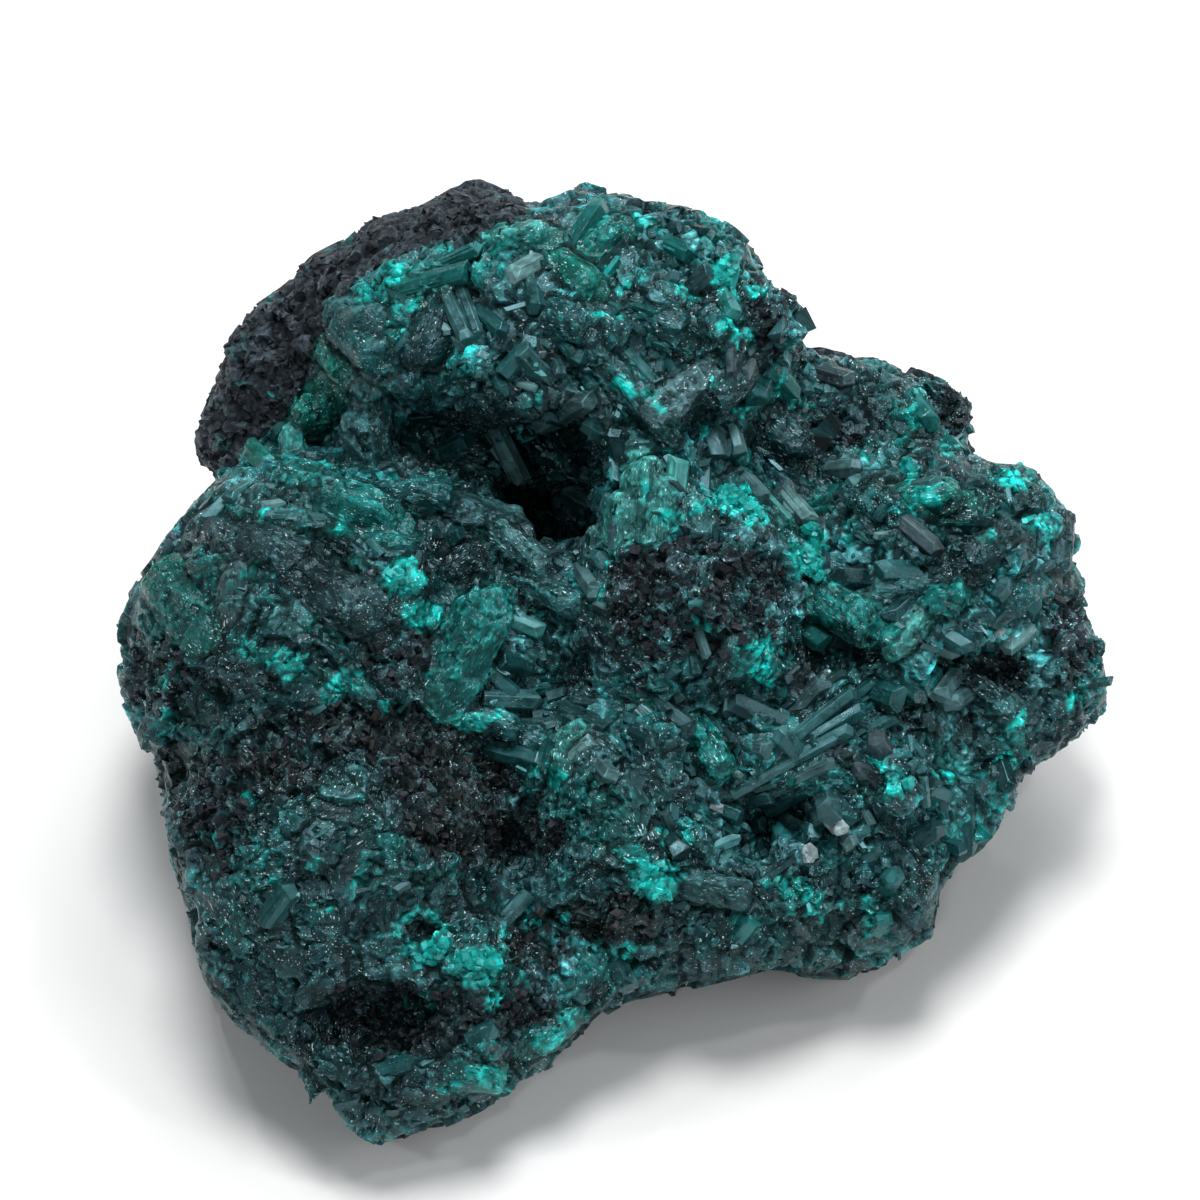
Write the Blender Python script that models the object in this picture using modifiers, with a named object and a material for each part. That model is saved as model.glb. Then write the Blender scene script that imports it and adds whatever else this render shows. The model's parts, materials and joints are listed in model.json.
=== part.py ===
"""Dioptase specimen: dark matrix rock with crusts of emerald-green hexagonal prisms.

Lengths in the tables are millimetres. A place on the specimen is given as seen from the front and
above: across, up and toward the viewer, measured from the middle of the front face.
"""

import math
import random

import bmesh
import bpy
from mathutils import Matrix, Vector, noise
from mathutils.bvhtree import BVHTree

# Driving dimensions
MM = 0.001
VIEW_ELEVATION = 50.0
VIEW_DISTANCE = 500.0
FACE_HEIGHT = 24.5
CRUST_THICKNESS = 2.0
CRUST_GAP = 0.32
CRUST_BACK = -19.0
CRUST_LOWEST = 2.6
CRUST_FLARE = 1.2
ROCK_VOXEL = 1.0
LUMP_SIZE = 5.5
LUMP_HEIGHT = 0.9
SEAM_WIDTH = 0.4
ROCK_TRIANGLES = 1600
SKIN_TRIANGLES = 1250
TIP_SLOPE = 50.0
SPOT_REACH = 5.0

UP = Vector((0, math.sin(math.radians(VIEW_ELEVATION)), math.cos(math.radians(VIEW_ELEVATION))))
TOWARD = Vector((0, -math.cos(math.radians(VIEW_ELEVATION)), math.sin(math.radians(VIEW_ELEVATION))))
ACROSS = Vector((1, 0, 0))
FACE_MIDDLE = Vector((0, 0, FACE_HEIGHT))

# Outline of the specimen, clockwise from its left shoulder (across, up)
OUTLINE = (
    (-33.5, 17.5), (-32, 20.5), (-31, 23.5), (-30.5, 25.5), (-28.5, 28), (-25.5, 30), (-24, 32),
    (-21, 33.5), (-19, 35), (-15, 36), (-12.5, 37.5), (-11, 38.5), (-9.5, 37.5), (-6.5, 36),
    (-3.5, 37), (-2, 38), (0, 37.5), (3.5, 36), (5.5, 36), (8.5, 35), (10.5, 33.5), (11.5, 31.5),
    (13, 28.5), (14.5, 26), (15, 24.5), (16.5, 24.8), (18, 24), (20, 24.3), (22, 23.5), (24, 23),
    (26.5, 22), (28.5, 20.5), (28.7, 18), (28.2, 16.6), (29.5, 15.3), (33, 15.2), (34.5, 14.2),
    (36, 12), (36.3, 9), (36.5, 7), (37, 5), (37.7, 3), (38.5, 0.5), (39.3, -2.5), (39, -4),
    (36, -6.5), (33, -8.5), (31.5, -11), (30.5, -13), (29, -15), (27, -16), (25.5, -18.5),
    (25.7, -20), (25, -22), (23.5, -22.5), (21.5, -24.5), (20, -25), (15.5, -25), (13, -24),
    (9.5, -25), (5, -26), (0.5, -26.8), (-0.5, -27.5), (-1.5, -28), (-3, -29.5), (-5, -32),
    (-7, -33.2), (-9, -34.5), (-11, -35.7), (-14, -37), (-17, -38), (-18.5, -38.5), (-20.5, -37.5),
    (-21.5, -36), (-22.5, -34), (-25, -32.5), (-27, -31), (-30, -28.5), (-32, -26), (-33, -23),
    (-33.5, -20), (-35, -15.5), (-35.5, -12), (-36.5, -10), (-37, -7.5), (-38, -5), (-39, -3),
    (-39.3, -1), (-39, 0.5), (-39.3, 2.5), (-38.8, 4), (-38, 6), (-36.3, 8), (-35.5, 9.5),
    (-33.5, 12), (-31.5, 14), (-30.5, 14.8), (-31.3, 15.5), (-32.5, 16),
)

# Masses of the rock: middle (across, up, toward) and half sizes the same ways
MASSES = (
    ((-4, 3, -20), (27, 24, 19)),
    ((4, -8, -16), (26, 16, 14)),
    ((0, 12, -30), (22, 12, 13)),
    ((-22, -2, -7), (18, 18, 13)),
    ((-22, -18, -1), (15, 17, 12)),
    ((-18, -28, 2), (13, 12, 9)),
    ((-26, 9, -12), (12, 8, 10)),
    ((-12, 9.5, -9), (10, 5.5, 9)),
    ((-33, 0, -12), (7.5, 10, 10)),
    ((-30, -16, -8), (7.5, 13, 9)),
    ((-22, 24, -24), (12, 11, 13)),
    ((-28, 18.5, -24), (7, 5.5, 9)),
    ((-13, 30, -22), (11, 9.5, 12)),
    ((-4, 22, -13), (18, 16.5, 13)),
    ((6, 27, -14), (10, 10, 11)),
    ((-14, 24, -12), (10, 10, 10)),
    ((6, 4, -7), (12, 11, 12)),
    ((4, 13, -8), (6, 5, 8)),
    ((0, -14, -3), (9, 13, 10)),
    ((14, -12, -7), (14, 13, 11)),
    ((21, -17, -7), (7.5, 9, 9)),
    ((26, -10, -10), (8, 8, 8)),
    ((8, -20, -4), (11, 8, 8)),
    ((-6, -26, -2), (9, 9, 8)),
    ((24, 4, -12), (14, 13, 12)),
    ((31, -1, -12), (9.5, 9, 10)),
    ((30, 8, -14), (8, 9, 9)),
    ((20, -3, -10), (11, 10, 11)),
    ((19, 16, -22), (11, 9.5, 11)),
    ((23, 18.5, -22), (7.5, 6, 8)),
)

# Hollows: the deep vug under the crown, then clefts and pits
HOLLOWS = (
    ((-5.4, 14.4, -5), (5.6, 5.6, 15)),
    ((-4.6, 12, -9), (4.2, 4.4, 9)),
    ((-12.5, 17.6, -3), (6.5, 3.2, 9)),
    ((-6.5, -8.5, 10), (2.4, 8.5, 8)),
    ((-8, -15, 6), (2.2, 3.2, 9)),
    ((-12, 8.3, 3), (3, 1.5, 7)),
    ((17, 1.2, 2), (3.4, 1.5, 7)),
    ((29.5, -0.8, -1), (3.2, 1.6, 7)),
    ((27.5, 10.6, -2), (2.4, 1.6, 6)),
    ((13, -13.5, 5), (5.5, 3.6, 6)),
    ((-18.5, -28.8, 11), (6.5, 3.4, 6)),
    ((-33.2, -3.4, 0), (1.5, 1.6, 6)),
    ((-23, 7.5, 6), (2.6, 1.8, 5)),
    ((-27, -5.6, 8), (1.6, 1.2, 5)),
    ((-35.3, -9, -2), (1.8, 1.8, 6)),
)

# Where the green crust lies, as seen from the front; the shoulder behind it is bare matrix
CRUST_REGION = (
    (-45, 17), (-32, 15.1), (-30.3, 15.6), (-29, 17.3), (-27, 18.6), (-26, 20), (-24.6, 22.5),
    (-23.6, 25.5), (-22.2, 28), (-20.5, 30.4), (-17, 32.5), (-12, 33.8), (-9, 34.2), (-7, 35.8),
    (-5, 45), (50, 45), (50, -50), (-45, -50),
)

# Lines where the crusts of crown, left, front and right meet (across, up)
SEAMS = (
    ((-60, 20), (-31, 14.9), (-25, 16.2), (-20, 14.6), (-12, 14.4), (-6, 11.6), (-4, 9.4)),
    ((-4, 9.4), (-1, 12.4), (0.2, 16.4), (6.3, 17), (12.6, 17.6), (14.6, 21), (15.6, 24.5), (20, 60)),
    ((-4, 9.4), (-2.6, 4.6), (-4.6, 0), (-5, -4), (-6.2, -10), (-8.6, -16), (-9, -21), (-5.5, -25.4),
     (10, -50)),
    ((6.3, 17), (10.4, 14.4), (13.6, 10.8), (14.2, 7), (15, 2.5), (14.4, -0.5), (20.4, -6.4),
     (27, -8), (60, -26)),
)
CRUST_NAMES = {
    "crown_crystals": (2, 26),
    "left_crystals": (-24, -8),
    "front_crystals": (8, -6),
    "right_crystals": (26, 4),
}

# Large crystals: root (across, up), tip (across, up), width, lift of the tip, shape of the tip
PRISMS = (
    # crown
    (-13.6, 29.8, -11.6, 25.6, 1.5, 1.4, "flat"),
    (-13.8, 27.2, -15.9, 23.4, 3.6, 1.6, "point"),
    (-10.6, 27.8, -8.4, 26.1, 1.5, 1.0, "point"),
    (-6.2, 31.8, -8.4, 30.6, 1.9, 1.2, "flat"),
    (-6.6, 30.4, -6.0, 27.6, 1.6, 0.8, "point"),
    (-16.4, 29.8, -11.4, 31.2, 1.9, 0.9, "flat"),
    (-14.4, 31.4, -10.2, 33.2, 1.5, 0.6, "point"),
    (-5.0, 27.4, -2.0, 26.6, 3.2, 1.3, "flat"),
    (-1.4, 27.2, 1.6, 25.0, 3.2, 1.2, "point"),
    (-1.4, 25.2, 4.6, 18.4, 3.0, 1.2, "flat"),
    (0.8, 24.6, 5.4, 19.6, 1.8, 0.7, "point"),
    (7.2, 22.6, 3.6, 20.0, 3.4, 1.6, "flat"),
    (10.4, 23.0, 7.0, 20.0, 3.4, 1.2, "point"),
    (10.0, 19.4, 11.2, 20.2, 1.6, 0.8, "point"),
    (12.2, 19.0, 16.4, 15.8, 4.2, 1.8, "point"),
    (13.0, 23.0, 14.8, 21.0, 2.0, 1.0, "point"),
    (2.2, 27.8, 6.2, 26.2, 3.4, 1.0, "flat"),
    (8.8, 27.6, 7.0, 25.6, 2.6, 1.2, "point"),
    (3.0, 28.6, 5.0, 29.8, 2.4, 1.0, "flat"),
    (8.0, 30.4, 9.6, 31.8, 2.4, 0.9, "flat"),
    (8.8, 29.2, 9.8, 27.2, 1.8, 0.9, "point"),
    (-4.2, 31.6, -1.0, 29.8, 2.6, 1.1, "point"),
    (-1.2, 33.2, 0.6, 35.2, 3.0, 0.9, "flat"),
    (-8.6, 33.8, -5.2, 34.2, 2.8, 0.9, "flat"),
    (4.2, 33.4, 6.4, 32.4, 2.0, 0.8, "flat"),
    (-21.6, 26.4, -18.6, 24.0, 3.2, 1.0, "flat"),
    (-22.8, 24.6, -21.8, 22.8, 2.4, 1.0, "point"),
    (-22.2, 28.2, -19.6, 27.4, 2.6, 0.8, "flat"),
    (-18.4, 23.2, -15.0, 21.6, 2.8, 1.2, "point"),
    (-24.8, 18.4, -23.2, 21.4, 3.6, 1.4, "point"),
    (-25.6, 16.8, -25.8, 18.4, 2.4, 1.2, "flat"),
    (-19.0, 15.8, -20.2, 20.4, 4.2, 1.4, "point"),
    (-9.4, 18.6, -7.1, 14.0, 1.8, 1.6, "point"),
    (-0.6, 18.0, -2.6, 19.2, 1.8, 1.0, "point"),
    (-14.2, 16.4, -11.2, 17.8, 2.2, 0.8, "flat"),
    # left
    (-27.6, 15.6, -29.2, 17.2, 2.0, 1.0, "flat"),
    (-25.0, 14.2, -17.2, 10.8, 4.4, 1.2, "point"),
    (-18.0, 12.9, -7.0, 11.2, 2.8, 1.5, "flat"),
    (-30.2, 13.4, -33.0, 10.6, 1.8, 0.6, "point"),
    (-17.4, 8.6, -13.4, 6.2, 3.2, 1.1, "flat"),
    (-15.2, 6.8, -17.6, 6.4, 2.6, 1.2, "point"),
    (-13.2, -1.6, -8.6, 7.0, 4.4, 2.4, "point"),
    (-9.2, 10.6, -4.8, 6.6, 1.8, 1.3, "point"),
    (-7.4, 6.6, -2.8, 4.2, 2.0, 1.2, "flat"),
    (-7.8, 3.2, -5.4, 2.2, 1.5, 1.0, "flat"),
    (-22.0, 6.4, -18.6, 2.8, 3.0, 0.8, "point"),
    (-30.4, 4.0, -30.4, 7.4, 2.4, 0.9, "flat"),
    (-35.8, 6.4, -33.0, 2.6, 4.4, 0.7, "point"),
    (-11.2, -4.4, -6.8, -5.8, 2.8, 1.8, "point"),
    (-10.4, -0.6, -8.0, -2.8, 1.8, 1.0, "flat"),
    (-10.2, -3.0, -5.4, -3.2, 1.8, 1.0, "point"),
    (-6.6, -0.6, -9.2, 0.2, 1.8, 0.8, "flat"),
    (-13.2, -24.4, -9.4, -24.2, 2.6, 1.0, "flat"),
    (-15.6, -24.2, -13.4, -22.2, 1.6, 0.8, "point"),
    (-9.2, -21.2, -6.8, -18.6, 1.6, 0.9, "flat"),
    (-12.0, -33.0, -9.0, -33.6, 2.6, 0.8, "flat"),
    (-3.6, -28.6, -6.6, -31.2, 1.6, 0.7, "point"),
    (-11.2, -30.2, -9.2, -29.2, 1.7, 0.8, "flat"),
    (-20.4, -33.6, -15.6, -31.8, 1.6, 0.8, "point"),
    (-27.4, -20.6, -25.4, -17.8, 2.2, 0.6, "point"),
    # front
    (2.4, 11.2, 2.4, 16.4, 3.4, 2.0, "flat"),
    (4.8, 11.8, 5.3, 16.4, 2.0, 1.6, "flat"),
    (9.2, 11.6, 9.4, 13.8, 2.6, 1.4, "point"),
    (10.4, 12.4, 11.8, 11.2, 1.8, 1.2, "point"),
    (-2.8, 7.6, -1.2, 5.0, 1.5, 1.0, "point"),
    (-3.2, 8.8, -0.6, 8.0, 1.6, 0.8, "flat"),
    (2.4, -4.2, 5.9, -7.4, 1.9, 1.1, "flat"),
    (6.2, -4.8, 8.9, -9.0, 2.6, 1.3, "flat"),
    (-4.0, -8.6, -3.6, -4.8, 2.6, 1.4, "point"),
    (-1.6, -7.8, 0.3, -9.8, 1.8, 1.2, "point"),
    (4.8, -17.8, 11.2, -18.8, 2.8, 1.8, "flat"),
    (17.2, -12.4, 18.4, -13.6, 1.5, 1.4, "flat"),
    (14.2, -15.9, 16.0, -15.2, 1.6, 1.4, "flat"),
    (9.0, -15.8, 10.4, -15.2, 1.8, 1.2, "flat"),
    (8.2, -13.2, 9.6, -14.0, 1.5, 1.2, "flat"),
    (11.2, -7.0, 12.6, -7.2, 1.5, 1.0, "flat"),
    (1.8, -17.2, 4.4, -18.6, 3.4, 1.2, "point"),
    (9.8, -22.4, 11.2, -20.6, 1.9, 0.9, "flat"),
    (20.8, -21.8, 22.0, -20.2, 1.6, 0.8, "point"),
    # right
    (16.6, 13.6, 24.8, 6.4, 3.2, 1.8, "point"),
    (19.4, 14.2, 22.6, 9.0, 1.5, 1.2, "point"),
    (17.0, 15.2, 19.9, 15.4, 1.8, 1.0, "point"),
    (10.4, 14.8, 12.3, 12.8, 1.5, 1.2, "flat"),
    (13.8, 13.4, 15.8, 11.0, 1.8, 1.3, "flat"),
    (15.9, 8.0, 15.8, 10.8, 2.0, 1.6, "flat"),
    (14.2, 9.2, 16.6, 6.8, 2.0, 1.5, "flat"),
    (16.2, 5.2, 20.9, 2.5, 4.4, 2.4, "flat"),
    (26.0, 4.8, 21.6, 0.6, 2.6, 2.0, "flat"),
    (24.4, 3.6, 28.4, 6.0, 3.0, 1.8, "flat"),
    (25.0, 2.9, 27.8, 1.3, 1.8, 1.2, "flat"),
    (24.6, 5.8, 20.2, 5.6, 1.9, 1.2, "point"),
    (23.8, 12.8, 28.5, 13.0, 3.4, 1.4, "point"),
    (22.6, 11.6, 26.2, 8.6, 1.8, 1.1, "flat"),
    (31.6, 9.8, 27.4, 7.6, 4.0, 1.5, "point"),
    (31.6, 7.8, 33.4, 9.0, 2.2, 1.0, "point"),
    (36.0, 11.4, 35.4, 6.4, 2.4, 0.8, "point"),
    (34.8, 6.2, 32.2, 4.8, 2.6, 1.2, "flat"),
    (36.6, 6.8, 35.8, 3.8, 1.8, 0.8, "point"),
    (33.2, 2.3, 31.3, 0.9, 1.5, 1.2, "flat"),
    (29.0, 4.6, 31.0, 2.4, 2.0, 1.0, "point"),
    (27.9, -0.4, 26.0, -3.0, 1.6, 1.2, "flat"),
    (28.8, -2.2, 26.8, -3.5, 1.9, 1.2, "flat"),
    (27.0, -0.6, 32.4, -4.4, 2.6, 1.0, "point"),
    (23.0, -2.2, 24.8, -3.2, 2.0, 1.0, "flat"),
    (31.0, 14.2, 33.6, 14.8, 2.2, 0.8, "flat"),
    (24.0, 20.8, 25.4, 18.8, 2.0, 0.7, "flat"),
    (27.6, 16.6, 26.6, 17.8, 1.8, 0.7, "point"),
    (16.4, 23.0, 19.6, 22.0, 2.2, 0.7, "point"),
)

COLOURS = {
    "matrix": ((0.018, 0.016, 0.018, 1.0), 0.72, 0.0),
    "dioptase": ((0.0, 0.075, 0.06, 1.0), 0.22, 0.25),
}


def place(across, up, toward):
    """World point in metres of a place seen from the front."""
    shrink = 1 - toward / VIEW_DISTANCE
    return (FACE_MIDDLE + (ACROSS * across + UP * up) * shrink + TOWARD * toward) * MM


def seen(point):
    """Across, up and toward, in millimetres, of a world point."""
    local = point / MM - FACE_MIDDLE
    toward = local.dot(TOWARD)
    grow = 1 / (1 - toward / VIEW_DISTANCE)
    return local.dot(ACROSS) * grow, local.dot(UP) * grow, toward


def new_collection(name, hidden=False):
    collection = bpy.data.collections.new(name)
    bpy.context.scene.collection.children.link(collection)
    collection.hide_render = hidden
    return collection


def new_object(name, mesh, collection):
    obj = bpy.data.objects.new(name, mesh)
    collection.objects.link(obj)
    if collection.hide_render:
        obj.hide_render = True
        obj.display_type = "WIRE"
    return obj


def mesh_from(bm, name):
    mesh = bpy.data.meshes.new(name)
    bmesh.ops.recalc_face_normals(bm, faces=bm.faces)
    bm.to_mesh(mesh)
    bm.free()
    return mesh


def bake(obj):
    """Replaces the object's mesh with what its modifiers make of it."""
    graph = bpy.context.evaluated_depsgraph_get()
    mesh = bpy.data.meshes.new_from_object(obj.evaluated_get(graph))
    obj.modifiers.clear()
    obj.data = mesh
    return obj


def remesh(obj, voxel, smoothing):
    modifier = obj.modifiers.new("Fuse", "REMESH")
    modifier.mode = "VOXEL"
    modifier.voxel_size = voxel * MM
    if smoothing:
        smooth = obj.modifiers.new("Wear", "SMOOTH")
        smooth.factor = 0.5
        smooth.iterations = smoothing
    return bake(obj)


def boolean(obj, other, operation, overlapping=False):
    modifier = obj.modifiers.new(operation.title(), "BOOLEAN")
    modifier.operation = operation
    modifier.solver = "EXACT"
    modifier.use_self = overlapping
    modifier.object = other
    return bake(obj)


def thin_out(obj, triangles):
    modifier = obj.modifiers.new("Facet", "DECIMATE")
    obj.data.calc_loop_triangles()
    modifier.ratio = triangles / len(obj.data.loop_triangles)
    modifier.use_collapse_triangulate = True
    return bake(obj)


def ellipsoids(table, name, collection):
    """Overlapping ellipsoids, one for each row of the table."""
    bm = bmesh.new()
    turn = Matrix((ACROSS, UP, TOWARD)).transposed().to_4x4()
    for middle, half_sizes in table:
        size = Matrix.Diagonal((*[half * MM for half in half_sizes], 1))
        where = Matrix.Translation(place(*middle)) @ turn @ size
        bmesh.ops.create_icosphere(bm, subdivisions=3, radius=1.0, matrix=where)
    return new_object(name, mesh_from(bm, name), collection)


def view_prism(outline, near, far, name, collection):
    """A closed outline swept along the lines of sight, between two depths."""
    bm = bmesh.new()
    front = bm.faces.new([bm.verts.new(place(across, up, near)) for across, up in outline])
    swept = bmesh.ops.extrude_face_region(bm, geom=[front])
    for vert in (v for v in swept["geom"] if isinstance(v, bmesh.types.BMVert)):
        across, up, _ = seen(vert.co)
        vert.co = place(across, up, far)
    return new_object(name, mesh_from(bm, name), collection)


def seam_walls(collection):
    """Thin walls along the lines of sight, where two crusts meet."""
    bm = bmesh.new()
    for line in SEAMS:
        for (x0, y0), (x1, y1) in zip(line, line[1:]):
            run = Vector((x1 - x0, y1 - y0)).normalized()
            side = Vector((-run.y, run.x)) * SEAM_WIDTH / 2
            start = Vector((x0, y0)) - run * SEAM_WIDTH / 3
            stop = Vector((x1, y1)) + run * SEAM_WIDTH / 3
            corners = [start - side, stop - side, stop + side, start + side]
            front = bm.faces.new([bm.verts.new(place(c.x, c.y, 40)) for c in corners])
            swept = bmesh.ops.extrude_face_region(bm, geom=[front])
            for vert in (v for v in swept["geom"] if isinstance(v, bmesh.types.BMVert)):
                across, up, _ = seen(vert.co)
                vert.co = place(across, up, -70)
    return new_object("seam_walls", mesh_from(bm, "seam_walls"), collection)


def roughen(mesh, height, size, seed):
    """Lumps the surface along its normals with cell noise and smooth noise."""
    shift = Vector((seed * 3.1, seed * 1.7, seed * 2.3))
    normals = [v.normal.copy() for v in mesh.vertices]
    for vert, normal in zip(mesh.vertices, normals):
        spot = vert.co / (size * MM) + shift
        lump = noise.noise(spot) + 0.5 * noise.noise(spot * 2.1) + 0.3 * noise.cell(spot * 1.4)
        vert.co += normal * (lump * height * MM)
    mesh.update()


def distance_inside(point, outline):
    """How far a point lies inside a closed outline; negative outside it."""
    inside = False
    nearest = 1e9
    for start, stop in zip(outline, outline[1:] + outline[:1]):
        a, b = Vector(start), Vector(stop)
        along = max(0.0, min(1.0, (point - a).dot(b - a) / (b - a).length_squared))
        nearest = min(nearest, (point - a - (b - a) * along).length)
        if (a.y > point.y) != (b.y > point.y):
            if point.x < a.x + (point.y - a.y) * (b.x - a.x) / (b.y - a.y):
                inside = not inside
    return nearest if inside else -nearest


def sink_under_crust(mesh):
    """Lowers the rock where the crust covers it."""
    normals = [v.normal.copy() for v in mesh.vertices]
    for vert, normal in zip(mesh.vertices, normals):
        across, up, toward = seen(vert.co)
        depth = min(
            distance_inside(Vector((across, up)), CRUST_REGION),
            toward - CRUST_BACK,
            vert.co.z / MM - CRUST_LOWEST,
        )
        share = max(0.0, min(1.0, (depth + 2 * CRUST_FLARE) / CRUST_FLARE))
        vert.co -= normal * (CRUST_THICKNESS * share * MM)
    mesh.update()


def grown_copy(obj, distance, name, collection):
    """A copy with every face moved out by the distance."""
    bm = bmesh.new()
    bm.from_mesh(obj.data)
    bm.normal_update()
    moves = [(v, v.normal * (distance * MM * min(2.0, v.calc_shell_factor()))) for v in bm.verts]
    for vert, move in moves:
        vert.co += move
    return new_object(name, mesh_from(bm, name), collection)


def cut_flat(obj, height, collection):
    """Cuts away all below a height, leaving flat faces there."""
    bm = bmesh.new()
    depth = 60
    where = Matrix.Translation((0, 0, (height - depth / 2) * MM)) @ Matrix.Diagonal((0.3, 0.3, depth * MM, 1))
    bmesh.ops.create_cube(bm, size=1.0, matrix=where)
    return boolean(obj, new_object("ground", mesh_from(bm, "ground"), collection), "DIFFERENCE",
                   overlapping=True)


def islands_of(bm):
    """The connected pieces of a mesh, as sets of vertices."""
    left = set(bm.verts)
    found = []
    while left:
        island = {left.pop()}
        frontier = list(island)
        while frontier:
            vert = frontier.pop()
            for edge in vert.link_edges:
                other = edge.other_vert(vert)
                if other in left:
                    left.discard(other)
                    island.add(other)
                    frontier.append(other)
        found.append(island)
    return found


def keep_one_piece(mesh, spot):
    """Keeps the largest connected piece of those that come near a place on the front face."""
    bm = bmesh.new()
    bm.from_mesh(mesh)
    near = [island for island in islands_of(bm)
            if min((Vector(seen(v.co)[:2]) - Vector(spot)).length for v in island) < SPOT_REACH]
    keep = max(near, key=len)
    bmesh.ops.delete(bm, geom=[v for v in bm.verts if v not in keep], context="VERTS")
    bm.to_mesh(mesh)
    bm.free()


def sight_hit(tree, across, up):
    """First point of the rock on the line of sight, or the nearest point of the rock to it."""
    eye = (FACE_MIDDLE + TOWARD * VIEW_DISTANCE) * MM
    line = (place(across, up, 0) - eye).normalized()
    hit = tree.ray_cast(eye, line)[0]
    if hit is None:
        hit = tree.find_nearest(place(across, up, -12))[0]
    return hit


def prism(bm, root, tip, width, shape, turn):
    """One hexagonal prism from root to tip, ended by three rhomb faces or one cleavage face."""
    axis = (tip - root).normalized()
    length = (tip - root).length
    spin = axis.to_track_quat("Z", "Y").to_matrix().to_4x4() @ Matrix.Rotation(turn, 4, "Z")
    where = Matrix.Translation((root + tip) / 2) @ spin
    made = bmesh.ops.create_cone(bm, cap_ends=True, segments=6, radius1=width / 2, radius2=width / 2,
                                 depth=length, matrix=where)
    verts = made["verts"]
    if shape == "flat":
        slopes = [(0.0, 24.0)]
    else:
        slopes = [(math.radians(azimuth), TIP_SLOPE) for azimuth in (30, 150, 270)]
    for azimuth, slope in slopes:
        steep = math.radians(slope)
        local = Vector((math.sin(steep) * math.cos(azimuth), math.sin(steep) * math.sin(azimuth),
                        math.cos(steep)))
        normal = (spin @ local).normalized()
        back = width / 2 * math.tan(steep) if shape == "flat" else 0.0
        faces = {f for v in verts if v.is_valid for f in v.link_faces}
        geometry = list(faces | {e for f in faces for e in f.edges} | {v for f in faces for v in f.verts})
        cut = bmesh.ops.bisect_plane(bm, geom=geometry, plane_co=tip - axis * back * 0.5,
                                     plane_no=normal, clear_outer=True, dist=1e-7)
        edges = [e for e in cut["geom_cut"] if isinstance(e, bmesh.types.BMEdge)]
        bmesh.ops.holes_fill(bm, edges=edges, sides=0)
        verts = [g for g in cut["geom"] + cut["geom_cut"] if isinstance(g, bmesh.types.BMVert)]


def crystals(tree, collection):
    """The large crystals, each rooted below the surface of the crust."""
    shuffle = random.Random(7)
    bm = bmesh.new()
    for across0, up0, across1, up1, width, lift, shape in PRISMS:
        root = sight_hit(tree, across0, up0)
        tip_depth = seen(sight_hit(tree, across1, up1))[2]
        root_depth = seen(root)[2]
        tip_depth = max(min(tip_depth, root_depth + 3.0), root_depth - 4.0)
        tip = place(across1, up1, tip_depth + lift)
        root = place(across0, up0, root_depth - 0.35 * width)
        single = bmesh.new()
        prism(single, root - (tip - root).normalized() * 0.4 * MM, tip, width * MM, shape,
              shuffle.uniform(0, math.pi))
        made = mesh_from(single, "single")
        bm.from_mesh(made)
        bpy.data.meshes.remove(made)
    return new_object("large_crystals", mesh_from(bm, "large_crystals"), collection)


def material(name):
    colour, roughness, see_through = COLOURS[name]
    made = bpy.data.materials.new(name)
    made.use_nodes = True
    shader = made.node_tree.nodes["Principled BSDF"]
    shader.inputs["Base Color"].default_value = colour
    shader.inputs["Roughness"].default_value = roughness
    shader.inputs["Metallic"].default_value = 0.0
    shader.inputs["Transmission Weight"].default_value = see_through
    made.diffuse_color = colour
    return made


def tree_of(mesh):
    mesh.calc_loop_triangles()
    return BVHTree.FromPolygons([v.co for v in mesh.vertices],
                                [tuple(t.vertices) for t in mesh.loop_triangles])


def build_body(cutters):
    """The whole specimen's outer form, fine enough to ray cast onto."""
    body = ellipsoids(MASSES, "body", cutters)
    remesh(body, ROCK_VOXEL, 0)
    boolean(body, ellipsoids(HOLLOWS, "hollows", cutters), "DIFFERENCE", overlapping=True)
    remesh(body, ROCK_VOXEL, 2)
    roughen(body.data, LUMP_HEIGHT, LUMP_SIZE, 1)
    boolean(body, view_prism(OUTLINE, 45, -75, "outline", cutters), "INTERSECT")
    remesh(body, ROCK_VOXEL, 1)
    return body


def build_matrix(body, collection, cutters):
    rock = new_object("matrix", body.data.copy(), collection)
    sink_under_crust(rock.data)
    remesh(rock, ROCK_VOXEL, 1)
    thin_out(rock, ROCK_TRIANGLES)
    bigger = grown_copy(rock, CRUST_GAP, "matrix_room", cutters)
    cut_flat(rock, 0.0, cutters)
    keep_one_piece(rock.data, (-22, 24))
    rock.data.materials.append(material("matrix"))
    return rock, bigger


def build_crusts(body, bigger, collection, cutters):
    tree = tree_of(body.data)
    skin = new_object("skin", body.data.copy(), cutters)
    thin_out(skin, SKIN_TRIANGLES)
    region = view_prism(CRUST_REGION, 45, CRUST_BACK, "crust_region", cutters)
    boolean(skin, region, "INTERSECT")
    boolean(skin, crystals(tree, cutters), "UNION", overlapping=True)
    boolean(skin, bigger, "DIFFERENCE", overlapping=True)
    cut_flat(skin, CRUST_LOWEST, cutters)
    boolean(skin, seam_walls(cutters), "DIFFERENCE", overlapping=True)
    green = material("dioptase")
    for name, spot in CRUST_NAMES.items():
        piece = new_object(name, skin.data.copy(), collection)
        keep_one_piece(piece.data, spot)
        piece.data.materials.clear()
        piece.data.materials.append(green)
    return skin


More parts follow.
